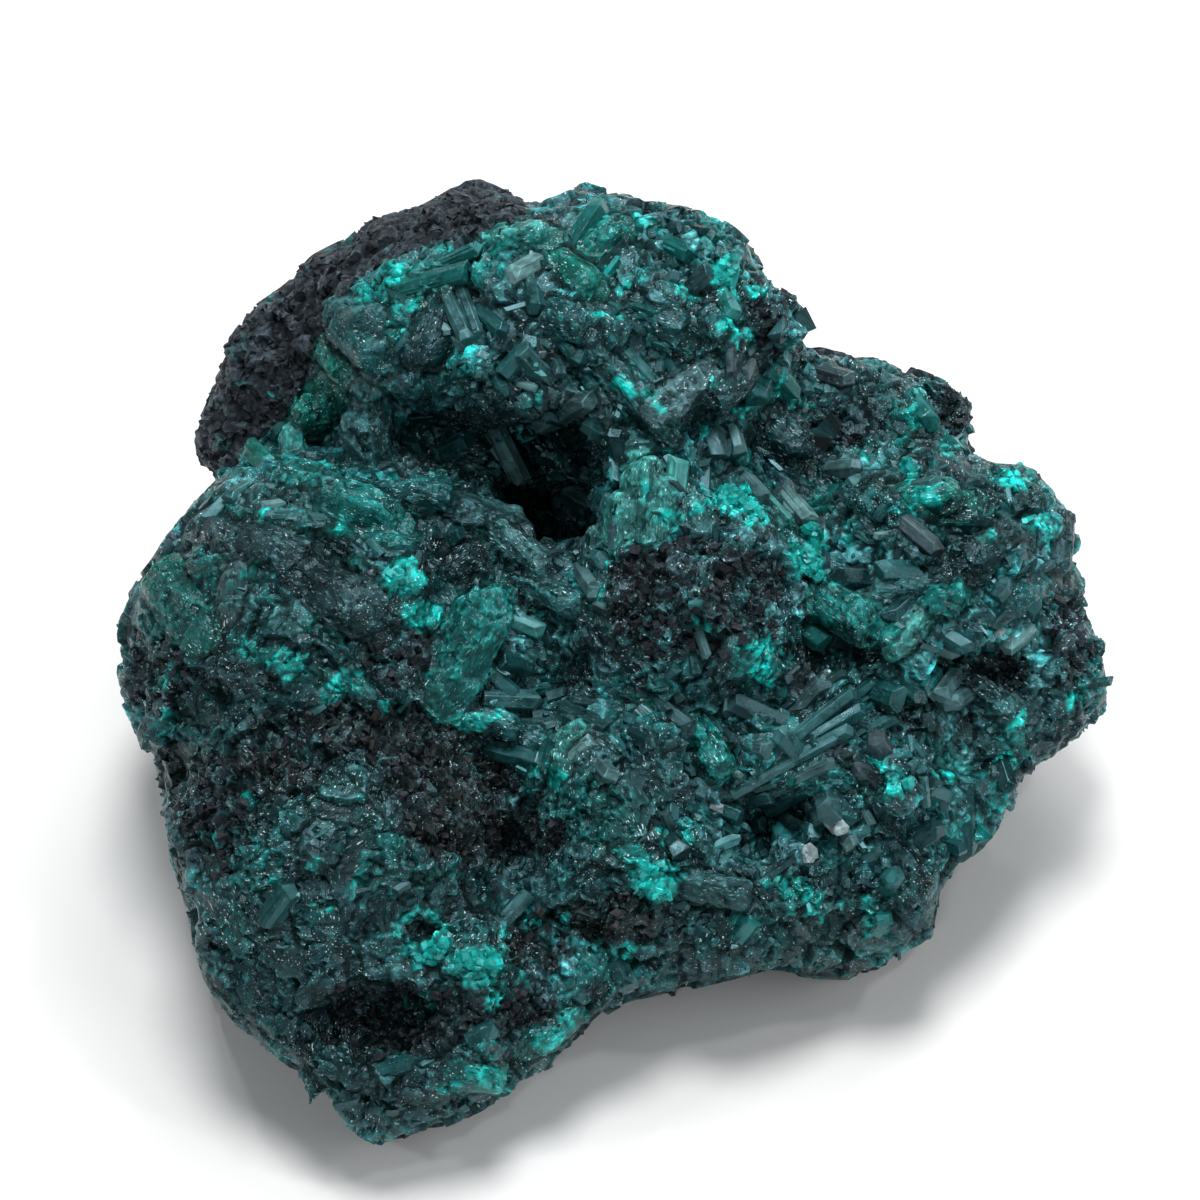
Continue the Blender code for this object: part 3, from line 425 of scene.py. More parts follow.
# Large crystals: root (across, up), tip (across, up), width, lift of the tip, tip, tone
prisms = (
    # crown
    (-13.6, 29.8, -11.6, 25.6, 1.5, 1.4, "flat", "streaked"),
    (-13.8, 27.2, -15.9, 23.4, 3.6, 1.6, "point", "ink"), (-10.6, 27.8, -8.4, 26.1, 1.5, 1, "point", "deep"),
    (-6.2, 31.8, -8.4, 30.6, 1.9, 1.2, "flat", "pale"), (-6.6, 30.4, -6, 27.6, 1.6, 0.8, "point", "deep"),
    (-16.4, 29.8, -11.4, 31.2, 1.9, 0.9, "flat", "teal"), (-14.4, 31.4, -10.2, 33.2, 1.5, 0.6, "point", "teal"),
    (-5, 27.4, -2, 26.6, 3.2, 1.3, "flat", "deep"), (-1.4, 27.2, 1.6, 25, 3.2, 1.2, "point", "deep"),
    (-1.4, 25.2, 4.6, 18.4, 3, 1.2, "flat", "greyTeal"), (0.8, 24.6, 5.4, 19.6, 1.8, 0.7, "point", "greyTeal"),
    (7.2, 22.6, 3.6, 20, 3.4, 1.6, "flat", "grey"), (10.4, 23, 7, 20, 3.4, 1.2, "point", "ink"),
    (10, 19.4, 11.2, 20.2, 1.6, 0.8, "point", "deep"), (12.2, 19, 16.4, 15.8, 4.2, 1.8, "point", "ink"),
    (13, 23, 14.8, 21, 2, 1, "point", "emerald"), (2.2, 27.8, 6.2, 26.2, 3.4, 1, "flat", "deep"),
    (8.8, 27.6, 7, 25.6, 2.6, 1.2, "point", "deep"), (3, 28.6, 5, 29.8, 2.4, 1, "flat", "greyTeal"),
    (8, 30.4, 9.6, 31.8, 2.4, 0.9, "flat", "bright"), (8.8, 29.2, 9.8, 27.2, 1.8, 0.9, "point", "teal"),
    (-4.2, 31.6, -1, 29.8, 2.6, 1.1, "point", "emerald"), (-1.2, 33.2, 0.6, 35.2, 3, 0.9, "flat", "emerald"),
    (-8.6, 33.8, -5.2, 34.2, 2.8, 0.9, "flat", "mist"), (4.2, 33.4, 6.4, 32.4, 2, 0.8, "flat", "teal"),
    (-21.6, 26.4, -18.6, 24, 3.2, 1, "flat", "deep"), (-22.8, 24.6, -21.8, 22.8, 2.4, 1, "point", "emerald"),
    (-22.2, 28.2, -19.6, 27.4, 2.6, 0.8, "flat", "greyTeal"),
    (-18.4, 23.2, -15, 21.6, 2.8, 1.2, "point", "deep"),
    (-24.8, 18.4, -23.2, 21.4, 3.6, 1.4, "point", "emerald"),
    (-25.6, 16.8, -25.8, 18.4, 2.4, 1.2, "flat", "mist"),
    (-19, 15.8, -20.2, 20.4, 4.2, 1.4, "point", "greyTeal"), (-9.4, 18.6, -7.1, 14, 1.8, 1.6, "point", "grey"),
    (-0.6, 18, -2.6, 19.2, 1.8, 1, "point", "greyTeal"), (-14.2, 16.4, -11.2, 17.8, 2.2, 0.8, "flat", "deep"),
    # left
    (-27.6, 15.6, -29.2, 17.2, 2, 1, "flat", "emerald"), (-25, 14.2, -17.2, 10.8, 4.4, 1.2, "point", "teal"),
    (-18, 12.9, -7, 11.2, 2.8, 2.2, "flat", "greyTeal"), (-20.4, 13.4, -12.6, 13.2, 2.6, 1.9, "flat", "deep"),
    (-12.8, 12.2, -6.2, 9.8, 3, 2.2, "flat", "slateTeal"),
    (-24.6, 6.4, -19.2, 3.8, 4.6, 1.6, "flat", "slateTeal"), (-14.6, 9.8, -16.8, 5.4, 3.6, 1.4, "flat", "ink"),
    (-28.6, 9.4, -24.4, 7.8, 3.6, 1.2, "flat", "slateTeal"),
    (-32.6, 10.6, -29.4, 9.2, 3, 1, "flat", "slateTeal"),
    (-13.4, 6.6, -10.6, 8.6, 3.2, 1.2, "flat", "slateTeal"),
    (-30.2, 13.4, -33, 10.6, 1.8, 0.6, "point", "deep"), (-17.4, 8.6, -13.4, 6.2, 3.2, 1.1, "flat", "deep"),
    (-15.2, 6.8, -17.6, 6.4, 2.6, 1.2, "point", "bright"), (-13.4, -2.4, -8.8, 6.6, 5.4, 3.6, "point", "teal"),
    (-9.2, 10.6, -4.8, 6.6, 2.4, 1.3, "point", "greyTeal"),
    (-7.4, 6.6, -2.8, 4.2, 2.4, 1.2, "flat", "greyTeal"), (-7.8, 3.2, -5.4, 2.2, 1.5, 1, "flat", "mist"),
    (-22, 6.4, -18.6, 2.8, 3, 0.8, "point", "deep"), (-30.4, 4, -30.4, 7.4, 2.4, 0.9, "flat", "grey"),
    (-35.8, 6.4, -33, 2.6, 4.4, 0.7, "point", "emerald"), (-11.2, -4.4, -6.8, -5.8, 2.8, 1.8, "point", "deep"),
    (-10.4, -0.6, -8, -2.8, 1.8, 1, "flat", "deep"), (-10.2, -3, -5.4, -3.2, 1.8, 1, "point", "greyTeal"),
    (-6.6, -0.6, -9.2, 0.2, 1.8, 0.8, "flat", "deep"), (-13.2, -24.4, -9.4, -24.2, 2.6, 1, "flat", "bright"),
    (-15.6, -24.2, -13.4, -22.2, 1.6, 0.8, "point", "bright"),
    (-9.2, -21.2, -6.8, -18.6, 1.6, 0.9, "flat", "deep"), (-12, -33, -9, -33.6, 2.6, 0.8, "flat", "teal"),
    (-3.6, -28.6, -6.6, -31.2, 2.4, 0.7, "point", "teal"),
    (-11.2, -30.2, -9.2, -29.2, 1.7, 0.8, "flat", "deep"),
    (-20.4, -33.6, -15.6, -31.8, 1.6, 0.8, "point", "deep"),
    (-27.4, -20.6, -25.4, -17.8, 2.2, 0.6, "point", "deep"),
    # front
    (2.4, 11.2, 2.4, 16.4, 3.4, 2, "flat", "mist"), (0.6, 9.8, 1.2, 14.2, 3.2, 1.7, "point", "mist"),
    (-1.4, 8.4, -0.4, 11.8, 3, 1.4, "point", "greyTeal"), (3.6, 10.4, 3.8, 15.2, 2.8, 1.7, "flat", "mist"),
    (6.8, 11.2, 6.6, 13.8, 2.8, 1.5, "point", "greyTeal"), (4.8, 11.8, 5.3, 16.4, 2, 1.6, "flat", "mist"),
    (9.2, 11.6, 9.4, 13.8, 2.6, 1.4, "point", "bright"), (10.4, 12.4, 11.8, 11.2, 1.8, 1.2, "point", "bright"),
    (-2.8, 7.6, -1.2, 5, 1.5, 1, "point", "grey"), (-3.2, 8.8, -0.6, 8, 1.6, 0.8, "flat", "greyTeal"),
    (2.4, -4.2, 5.9, -7.4, 1.9, 1.1, "flat", "grey"), (6.2, -4.8, 8.9, -9, 2.6, 1.3, "flat", "teal"),
    (-4, -8.6, -3.6, -4.8, 2.6, 1.4, "point", "mist"), (-1.6, -7.8, 0.3, -9.8, 1.8, 1.2, "point", "grey"),
    (4.8, -17.8, 11.2, -18.8, 2.8, 1.8, "flat", "greyTeal"),
    # the near-white crystals here are painted highlights standing in for glints
    (17.2, -12.4, 18.4, -13.6, 1.5, 1.4, "flat", "glintWhite"), (14.2, -15.9, 16, -15.2, 1.6, 1.4, "flat", "glintWhite"),
    (9, -15.8, 10.4, -15.2, 1.8, 1.2, "flat", "deep"), (8.2, -13.2, 9.6, -14, 1.5, 1.2, "flat", "deep"),
    (11.2, -7, 12.6, -7.2, 1.5, 1, "flat", "grey"), (1.8, -17.2, 4.4, -18.6, 3.4, 1.2, "point", "bright"),
    (9.8, -22.4, 11.2, -20.6, 1.9, 0.9, "flat", "teal"), (20.8, -21.8, 22, -20.2, 1.6, 0.8, "point", "teal"),
    # right
    (16.6, 13.6, 24.8, 6.4, 3.2, 1.8, "point", "teal"), (19.4, 14.2, 22.6, 9, 1.5, 1.2, "point", "greyTeal"),
    (17, 15.2, 19.9, 15.4, 1.8, 1, "point", "grey"), (10.4, 14.8, 12.3, 12.8, 1.5, 1.2, "flat", "grey"),
    (13.8, 13.4, 15.8, 11, 1.8, 1.3, "flat", "pale"), (15.9, 8, 15.8, 10.8, 2, 1.6, "flat", "bright"),
    (14.2, 9.2, 16.6, 6.8, 2, 1.5, "flat", "bright"), (16.2, 5.2, 20.9, 2.5, 4.4, 2.4, "flat", "teal"),
    (26, 4.8, 21.6, 0.6, 2.6, 2, "flat", "mist"), (24.4, 3.6, 28.4, 6, 3, 1.8, "flat", "teal"),
    (25, 2.9, 27.8, 1.3, 1.8, 1.2, "flat", "greyTeal"), (24.6, 5.8, 20.2, 5.6, 2.5, 1.2, "point", "greyTeal"),
    (23.8, 12.8, 28.5, 13, 3.4, 1.4, "point", "emerald"), (22.6, 11.6, 26.2, 8.6, 1.8, 1.1, "flat", "slate"),
    (31.6, 9.8, 27.4, 7.6, 4, 1.5, "point", "ink"), (31.6, 7.8, 33.4, 9, 2.2, 1, "point", "deep"),
    (36, 11.4, 35.4, 6.4, 2.4, 0.8, "point", "ink"), (34.8, 6.2, 32.2, 4.8, 2.6, 1.2, "flat", "deep"),
    (36.6, 6.8, 35.8, 3.8, 1.8, 0.8, "point", "mist"), (33.2, 2.3, 31.3, 0.9, 1.5, 1.2, "flat", "pale"),
    (29, 4.6, 31, 2.4, 2, 1, "point", "deep"), (27.9, -0.4, 26, -3, 1.6, 1.2, "flat", "grey"),
    (28.8, -2.2, 26.8, -3.5, 1.9, 1.2, "flat", "grey"), (27, -0.6, 32.4, -4.4, 2.6, 1, "point", "greyTeal"),
    (23, -2.2, 24.8, -3.2, 2, 1, "flat", "deep"), (31, 14.2, 33.6, 14.8, 2.2, 0.8, "flat", "mist"),
    (24, 20.8, 25.4, 18.8, 2, 0.7, "flat", "teal"), (27.6, 16.6, 26.6, 17.8, 1.8, 0.7, "point", "teal"),
    (16.4, 23, 19.6, 22, 2.2, 0.7, "point", "slate"),
    # narrow ones, too small for the solids
    (-12.2, 29.6, -10.8, 25.9, 1.3, 1, "flat", "streaked"), (-14.8, 28.2, -13, 26, 0.9, 0.8, "point", "pale"),
    (-12.6, 25.8, -10.1, 24, 1.3, 0.9, "point", "pale"), (-8.6, 29.9, -9.6, 31, 1.4, 0.8, "flat", "teal"),
    (-4.6, 26.2, -3.2, 24.4, 1.1, 1, "point", "deep"), (9.6, 18.6, 10.2, 16.4, 1.4, 1.2, "flat", "grey"),
    (-9.3, 22.9, -8.7, 21.5, 1.2, 1.2, "flat", "deep"), (-11.6, 23.8, -10.5, 22.5, 1, 1, "point", "greyTeal"),
    (-25, 12.7, -28.4, 12.2, 1.1, 1, "point", "pale"), (-25.6, 11.7, -28, 11.5, 1.2, 0.7, "flat", "greyTeal"),
    (6.6, 11.4, 6.6, 13.2, 1.4, 1.2, "point", "mist"), (2.8, -6, 5.3, -7.8, 1.3, 0.8, "point", "grey"),
    (-3.2, -7.6, -1.6, -6.2, 1.3, 1, "flat", "pale"), (9.8, -10.4, 19.4, -5.2, 1.4, 1, "point", "greyTeal"),
    (11.4, -9, 20.4, -3.6, 1.4, 1, "point", "deep"), (12.8, -7.6, 19.6, -2.2, 1.4, 0.9, "point", "greyTeal"),
    (10.6, -11.4, 17.8, -8, 1.2, 0.8, "point", "grey"), (12.2, 12.9, 14.4, 10.6, 1.4, 0.9, "point", "mist"),
    (26, 1.2, 28, 0.4, 1.4, 1, "point", "grey"), (23.8, 14.3, 23.6, 16, 1.4, 0.9, "point", "bright"),
    # the near-white crystal here is a painted highlight standing in for a glint
    (8.2, -11.6, 8.9, -11.9, 0.8, 0.6, "flat", "glintWhite"), (9.5, -9, 10.3, -9.1, 0.7, 0.6, "flat", "pale"),
    (20.2, -12, 20.8, -13.2, 0.8, 0.7, "flat", "grey"), (13.2, 16.6, 14.4, 16.8, 1.3, 0.8, "flat", "pale"),
    (-7.9, 22.3, -6, 21.8, 0.8, 0.7, "point", "pale"), (-26, 13.8, -28, 14, 0.7, 0.7, "point", "pale"),
    (-6, 9, -4, 7.5, 0.9, 0.8, "point", "grey"), (-20.6, 6.4, -22.2, 4, 0.9, 1.4, "flat", "grey"),
    # the near-white crystal here is a painted highlight standing in for a glint
    (30.4, 2, 31.2, 2.5, 0.8, 0.7, "flat", "glintWhite"), (7, 2, 7.6, 0.1, 0.9, 0.8, "point", "grey"),
)

# Crystals by size: "block" and "chip" are fused into the ground, the others stand on it
sizes = {  # widths and gaps in mm, lean in degrees, share: how often, and how much more in busy areas
    "block": {"gap": 2.7, "width": (1.6, 6.0), "slim": (0.8, 1.8), "lean": (25, 85), "sunk": 0.62,
              "buried": 0.3, "kinds": (("point", 0.5), ("flat", 1.0)), "flatness": 0.5},
    "chip": {"gap": 1.8, "width": (0.9, 3.0), "slim": (0.8, 1.6), "lean": (0, 90), "sunk": 0.66,
             "buried": 0.25, "kinds": (("grain", 1.0),), "flatness": 0.5},
    "stout": {"gap": 2.3, "width": (0.9, 2.4), "slim": (1.6, 3.2), "lean": (30, 85), "sunk": 0.55,
              "buried": 0.2, "kinds": (("finePoint", 0.5), ("fineFlat", 1.0)), "flatness": 0.3,
              "share": (0.26, 0.45)},
    "small": {"gap": 1.0, "width": (0.4, 1.05), "slim": (1.6, 3.6), "lean": (30, 85), "sunk": 0.5,
              "buried": 0.15, "kinds": (("blade", 0.55), ("point", 0.8), ("flat", 1.0)), "flatness": 0.3,
              "share": (0.07, 0.28)},
    "tiny": {"gap": 0.55, "width": (0.2, 0.42), "slim": (1.4, 3.0), "lean": (10, 80), "sunk": 0.5,
             "buried": 0.0, "kinds": (("blade", 1.0),), "flatness": 0.3, "share": (0.035, 0.1)},
    "grains": {"gap": 0.62, "width": (0.3, 0.95), "slim": (0.8, 1.5), "lean": (0, 90), "sunk": 0.55,
               "buried": 0.1, "kinds": (("grain", 1.0),), "flatness": 0.6,
               "share": (0.45, 0.3)},  # on bare rock, and on granular ground
}

# The ground between the crystals and the bare rock, as one fine mesh, in mm
fineRock = {
    "voxel": 0.385,
    "drift": 0.25,
    "facets": ((3.2, 0.42, 0.5), (1.5, 0.15, 0.45)),  # size, height and slope of the flat faces
    "granular": ((1.5, 0.55, 0.9), (0.9, 0.3, 0.9)),
    "granularDepth": 0.3,
    "turquoiseRise": 0.3,
    "pitDepth": 0.6,
    "onLarge": 0.35,  # share of the relief on large crystals
    "limits": (-0.9, 0.55),
    "domain": 4.6,  # how far the crystals keep one direction
}

# How the large crystals stand, in mm
standingLarge = {
    "nearest": 3.0,  # a tip lies at most this far before its root
    "farthest": 4.0,
    "rootSunk": 0.35,  # times the width
    "buried": 0.4,
    "fusedFrom": 2.4,  # from this width on they are fused with the ground, unless of a loose tone
    "looseTones": ("glintWhite", "pale", "bright", "streaked"),
}

# Tints of the ground: sizes in mm, and how strong each is
tinting = {
    "block": (1.7, 1.4), "blotch": (3.2, 2.8), "speck": 0.7, "teal": (4.5, 0.6), "greenSpots": (1.6, 0.6),
    "calm": (0.5, 0.45),  # how much contrast and how much light the fine areas lose
    # how much painted shade darkens the small pits
    "pitShade": 0.65,
    "rightSideLight": (27, 6, 0.3),  # painted light: lighter from here, over this width, by this share
    "ridgeLightFurrowShade": (4.6, 0.25, 2.7),  # painted light on ridges and painted shade in furrows, and the limits of both
    "patches": (  # tone, strength and softness
        ("granular", "plum", 0.85, 0.35), ("brown", "brown", 0.75, 0.35), ("teal", "teal", 0.7, 0.35),
        # the shade patches on the next line paint shade with the black tone
        ("turquoise", "bright", 0.97, 0.15), ("dark", "black", 0.5, 1.0),
    ),
}


def cellOf(points, size, seed):  # the nearest of scattered middles, and the way from it, in cells
    spot = np.asarray(points) / (size * mm)
    base = np.floor(spot).astype(np.int64)
    nearest = np.full(len(spot), 9.0)
    owner = np.zeros_like(base)
    offset = np.zeros_like(spot)
    for step in np.ndindex(3, 3, 3):
        cell = base + np.array(step) - 1
        middle = cell + np.stack([hashed(cell, seed + axis) for axis in range(3)], axis=1)
        away = spot - middle
        distance = np.linalg.norm(away, axis=1)
        closer = distance < nearest
        nearest[closer], owner[closer], offset[closer] = distance[closer], cell[closer], away[closer]
    return owner, offset


def facets(points, size, seed, slope):  # a surface broken into flat, tilted faces, about -1 to 1
    owner, offset = cellOf(points, size, seed)
    way = np.stack([hashed(owner, seed + 5 + axis) for axis in range(3)], axis=1) * 2 - 1
    return hashed(owner, seed + 9) * 2 - 1 + np.sum(offset * way, axis=1) * slope


def strikeOf(points):  # the way that most crystals near a point lie
    owner, _ = cellOf(points, fineRock["domain"], 300)
    way = np.stack([hashed(owner, 310 + axis) for axis in range(3)], axis=1) * 2 - 0.999
    return way / np.linalg.norm(way, axis=1)[:, None]


ladder = ("ink", "deep", "slateTeal", "ink", "greyTeal", "deep", "teal", "slate", "grey")
shares = np.cumsum((0.17, 0.17, 0.17, 0.12, 0.12, 0.1, 0.05, 0.06, 0.04))


def toneAt(points):  # colour and frost of the crust at world points, in blocks of one tone each
    owner, _ = cellOf(points, 2.3, 400)
    draw = 0.75 * hashed(owner, 404) + 0.5 * lattice(points, 6.5, 405) - 0.12
    picks = np.searchsorted(shares, np.clip(draw, 0, 0.9999))
    picks = np.minimum(picks, len(ladder) - 1)
    return (np.array([tones[n][0] for n in ladder])[picks], np.array([tones[n][1] for n in ladder])[picks])


# Crystal shapes one unit wide, standing on z = 0, whose tips are lengthened when they are set
def keepTemplate(bm):
    bmesh.ops.recalc_face_normals(bm, faces=bm.faces)
    bm.verts.index_update()
    edgeFaces = bm.faces.layers.int.get("edge")
    shape = {
        "points": np.array([v.co for v in bm.verts]),
        "corners": np.array([v.index for f in bm.faces for v in f.verts]),
        "facesOf": np.array([len(f.verts) for f in bm.faces]),
        "edge": np.array([f[edgeFaces] if edgeFaces else 0 for f in bm.faces], float),
        "triangles": sum(len(f.verts) - 2 for f in bm.faces),
    }
    bm.free()
    shape["tip"] = shape["points"][:, 2] > 1.0
    return shape


def cutTip(bm, azimuth, slope, back):
    azimuth, slope = math.radians(azimuth), math.radians(slope)
    normal = Vector((math.sin(slope) * math.cos(azimuth), math.sin(slope) * math.sin(azimuth), math.cos(slope)))
    cut = bmesh.ops.bisect_plane(bm, geom=bm.verts[:] + bm.edges[:] + bm.faces[:], dist=1e-6,
                                 plane_co=(0, 0, 2.0 - back), plane_no=normal, clear_outer=True)
    rim = [e for e in cut["geom_cut"] if isinstance(e, bmesh.types.BMEdge)]
    bmesh.ops.holes_fill(bm, edges=rim, sides=0)


def column(sides):
    bm = bmesh.new()
    bmesh.ops.create_cone(bm, cap_ends=True, segments=sides, radius1=0.5, radius2=0.5, depth=2.0,
                          matrix=Matrix.Translation((0, 0, 1)))
    return bm


def prismShape(kind, variant, bevel=0.0):
    shuffle = random.Random(variant * 31 + 5)
    bm = column(6)
    for step in range(6):  # no two sides are alike
        azimuth = math.radians(60 * step)
        pull = shuffle.uniform(-0.13, 0.08)
        for vert in bm.verts:
            if abs(math.remainder(math.atan2(vert.co.y, vert.co.x) - azimuth, math.tau)) < 0.1:
                vert.co.x += pull * math.cos(azimuth)
                vert.co.y += pull * math.sin(azimuth)
    if kind == "point":
        planes = [(azimuth + shuffle.uniform(-8, 8), 46 + shuffle.uniform(-9, 9), shuffle.uniform(0, 0.2))
                  for azimuth in (30, 150, 270)]
    else:
        planes = [(shuffle.uniform(0, 360), shuffle.uniform(8, 34), 0.1),
                  (shuffle.uniform(0, 360), 48, -0.16), (shuffle.uniform(0, 360), 58, -0.2)]
    for plane in planes:
        cutTip(bm, *plane)
    bmesh.ops.remove_doubles(bm, verts=bm.verts, dist=1e-4)
    layer = bm.faces.layers.int.new("edge")
    if bevel:
        edges = [e for e in bm.edges if max(v.co.z for v in e.verts) > 0.5]
        made = bmesh.ops.bevel(bm, geom=edges, offset=bevel, offset_type="OFFSET", segments=1,
                               profile=0.5, affect="EDGES", material=-1, clamp_overlap=True)
        for face in made["faces"]:
            face[layer] = 1
    return keepTemplate(bm)


def bladeShape(variant):  # four sides and one slanting end
    shuffle = random.Random(variant + 100)
    bm = column(4)
    for vert in bm.verts:
        vert.co.y *= 0.66
        vert.co += Vector((shuffle.uniform(-0.1, 0.1), shuffle.uniform(-0.1, 0.1), 0))
    cutTip(bm, shuffle.uniform(0, 360), shuffle.uniform(30, 52), 0.35)
    bmesh.ops.remove_doubles(bm, verts=bm.verts, dist=1e-4)
    return keepTemplate(bm)


def grainShape(variant):  # a broken block, sharp on every side
    shuffle = random.Random(variant + 200)
    bm = bmesh.new()
    bmesh.ops.create_cube(bm, size=0.8, matrix=Matrix.Translation((0, 0, 1.5)))
    for vert in bm.verts:
        vert.co += Vector([shuffle.uniform(-0.22, 0.22) for _ in range(3)])
    shape = keepTemplate(bm)
    shape["tip"][:] = True
    return shape


shapes = {
    "finePoint": [prismShape("point", v, 0.03) for v in range(5)],
    "fineFlat": [prismShape("flat", v + 5, 0.03) for v in range(5)],
    "point": [prismShape("point", v + 10) for v in range(6)],
    "flat": [prismShape("flat", v + 15) for v in range(6)],
    "blade": [bladeShape(v) for v in range(6)],
    "grain": [grainShape(v) for v in range(6)],
}
print("shapes:", {name: [s["triangles"] for s in group] for name, group in shapes.items()})


def framesFor(axes, spins):  # three directions for each axis, turned about it
    helper = np.where(np.abs(axes[:, 2:3]) < 0.9, np.array((0, 0, 1.0)), np.array((1.0, 0, 0)))
    side = np.cross(helper, axes)
    side /= np.linalg.norm(side, axis=1)[:, None]
    other = np.cross(axes, side)
    cos, sin = np.cos(spins)[:, None], np.sin(spins)[:, None]
    return np.stack((side * cos + other * sin, other * cos - side * sin, axes), axis=2)


def setCrystals(store, kind, roots, axes, widths, lengths, tints, frostsAndGlints, rng, flatness=0.25):
    # stands a crystal at each root; store collects arrays for one piece
    roots, axes = np.asarray(roots), np.asarray(axes)
    if not len(roots):
        return
    axes = axes / np.linalg.norm(axes, axis=1)[:, None]
    picks = rng.integers(0, len(shapes[kind]), len(roots))
    turns = framesFor(axes, rng.uniform(0, math.tau, len(roots)))
    squash = rng.uniform(1 - flatness, 1 + flatness * 0.4, len(roots))
    low, high = np.array(cadBox[0]) - np.array(baseShift), np.array(cadBox[1]) - np.array(baseShift)
    for variant, shape in enumerate(shapes[kind]):
        chosen = np.flatnonzero(picks == variant)
        width = widths[chosen][:, None]
        local = shape["points"][None] * width[:, :, None]
        local[:, :, 1] *= squash[chosen][:, None]
        upright = shape["points"][None, :, 2]
        local[:, :, 2] = np.where(shape["tip"][None, :], lengths[chosen][:, None] + (upright - 2) * width,
                                  upright * width)
        world = np.einsum("nij,nvj->nvi", turns[chosen], local) + roots[chosen][:, None]
        keep = (world[:, :, 2].min(axis=1) > 0.15 * mm) if len(chosen) else np.zeros(0, bool)
        keep &= ((world > low - 0.4 * mm) & (world < high + 0.4 * mm)).all(axis=(1, 2))
        chosen, world, local = chosen[keep], world[keep], local[keep]
        number, amount = len(chosen), len(shape["points"])
        if not number:
            continue
        store["points"].append(world.reshape(-1, 3))
        starts = store["count"] + np.arange(number)[:, None] * amount
        store["corners"].append((shape["corners"][None] + starts).ravel())
        store["sizes"].append(np.tile(shape["facesOf"], number))
        store["edge"].append(np.tile(shape["edge"], number))
        store["tint"].append(np.repeat(tints[chosen], amount, axis=0))
        store["frostAndGlint"].append(np.repeat(frostsAndGlints[chosen], amount))
        store["grain"].append((local / mm + rng.uniform(0, 60, (number, 1, 3))).reshape(-1, 3))
        store["count"] += number * amount


def newStore():
    keys = ("points", "corners", "sizes", "edge", "tint", "frostAndGlint", "grain")
    return {**{key: [] for key in keys}, "count": 0}


def addAttribute(mesh, name, kind, key, values, domain="POINT"):
    layer = mesh.attributes.new(name, kind, domain)
    layer.data.foreach_set(key, values.astype(np.float32).ravel())


def attributesOf(mesh, tint, frostAndGlint, grain):
    addAttribute(mesh, "tint", "FLOAT_COLOR", "color", np.c_[tint, np.ones(len(tint))])
    addAttribute(mesh, "frostAndGlint", "FLOAT", "value", frostAndGlint)
    addAttribute(mesh, "grain", "FLOAT_VECTOR", "vector", grain)


def storeMesh(name, store):
    mesh = bpy.data.meshes.new(name)
    points, corners = np.concatenate(store["points"]), np.concatenate(store["corners"])
    facesOf = np.concatenate(store["sizes"])
    mesh.vertices.add(len(points))
    mesh.vertices.foreach_set("co", points.astype(np.float32).ravel())
    mesh.loops.add(len(corners))
    mesh.loops.foreach_set("vertex_index", corners.astype(np.int32))
    mesh.polygons.add(len(facesOf))
    mesh.polygons.foreach_set("loop_start", (np.cumsum(facesOf) - facesOf).astype(np.int32))
    mesh.update(calc_edges=True)
    mesh.validate()
    mesh.shade_flat()
    attributesOf(mesh, *[np.concatenate(store[key]) for key in ("tint", "frostAndGlint", "grain")])
    addAttribute(mesh, "edge", "FLOAT", "value", np.concatenate(store["edge"]), "FACE")
    return mesh


def meshArrays(mesh):  # points, triangles
    mesh.calc_loop_triangles()
    points, triangles = np.empty(len(mesh.vertices) * 3), np.empty(len(mesh.loop_triangles) * 3, np.int32)
    mesh.vertices.foreach_get("co", points)
    mesh.loop_triangles.foreach_get("vertices", triangles)
    return points.reshape(-1, 3), triangles.reshape(-1, 3)


def normalsOf(mesh):
    return np.array([v.normal for v in mesh.vertices])


def spotsOn(mesh, gap, seed):  # one spot in each cell of a grid of this size, on the mesh
    rng = np.random.default_rng(seed)
    points, triangles = meshArrays(mesh)
    a, b, c = (points[triangles[:, side]] for side in range(3))
    areaOf = np.linalg.norm(np.cross(b - a, c - a), axis=1) / 2
    amount = int(areaOf.sum() / (gap * mm) ** 2 * 4)
    picks = rng.choice(len(triangles), amount, p=areaOf / areaOf.sum())
    s, t = rng.random((2, amount, 1))
    s, t = np.where(s + t > 1, 1 - s, s), np.where(s + t > 1, 1 - t, t)
    spots = a[picks] + (b[picks] - a[picks]) * s + (c[picks] - a[picks]) * t
    cells = np.floor(spots / (gap * mm)).astype(np.int64)
    _, first = np.unique(cells[:, 0] * 4000037 + cells[:, 1] * 2003 + cells[:, 2], return_index=True)
    spots = spots[np.sort(first)]
    spots = spots[spots[:, 2] > 0.9 * mm]
    return spots, np.array([rockTree.find_nearest(Vector(s))[1] for s in spots])


def facingOf(spots, outward):  # 1 where the camera looks straight at a spot, 0 along an edge
    sight = np.array(eye) - spots
    return np.abs(np.sum(sight * outward, axis=1)) / np.linalg.norm(sight, axis=1)


def standing(spots, outward, plan, rng):  # how a crystal lies at each spot
    amount = len(spots)
    low, high = plan["width"]
    rim = np.clip(1 - facingOf(spots, outward) / 0.4, 0, 1)  # flatter where the outline is seen
    widths = (low + (high - low) * rng.random(amount) ** 2.0) * (1 - 0.3 * rim) * mm
    lengths = widths * rng.uniform(*plan["slim"], amount)
    lean = np.radians(rng.uniform(*plan["lean"], amount))
    along = strikeOf(spots) + 0.3 * rng.normal(size=(amount, 3))
    along -= outward * np.sum(along * outward, axis=1)[:, None]
    along /= np.linalg.norm(along, axis=1)[:, None]
    axes = outward * np.cos(lean)[:, None] + along * np.sin(lean)[:, None]
    depth = widths * plan["buried"] * np.sin(lean) + rim * widths * 0.3
    return axes, widths, lengths, lengths * plan["sunk"], depth


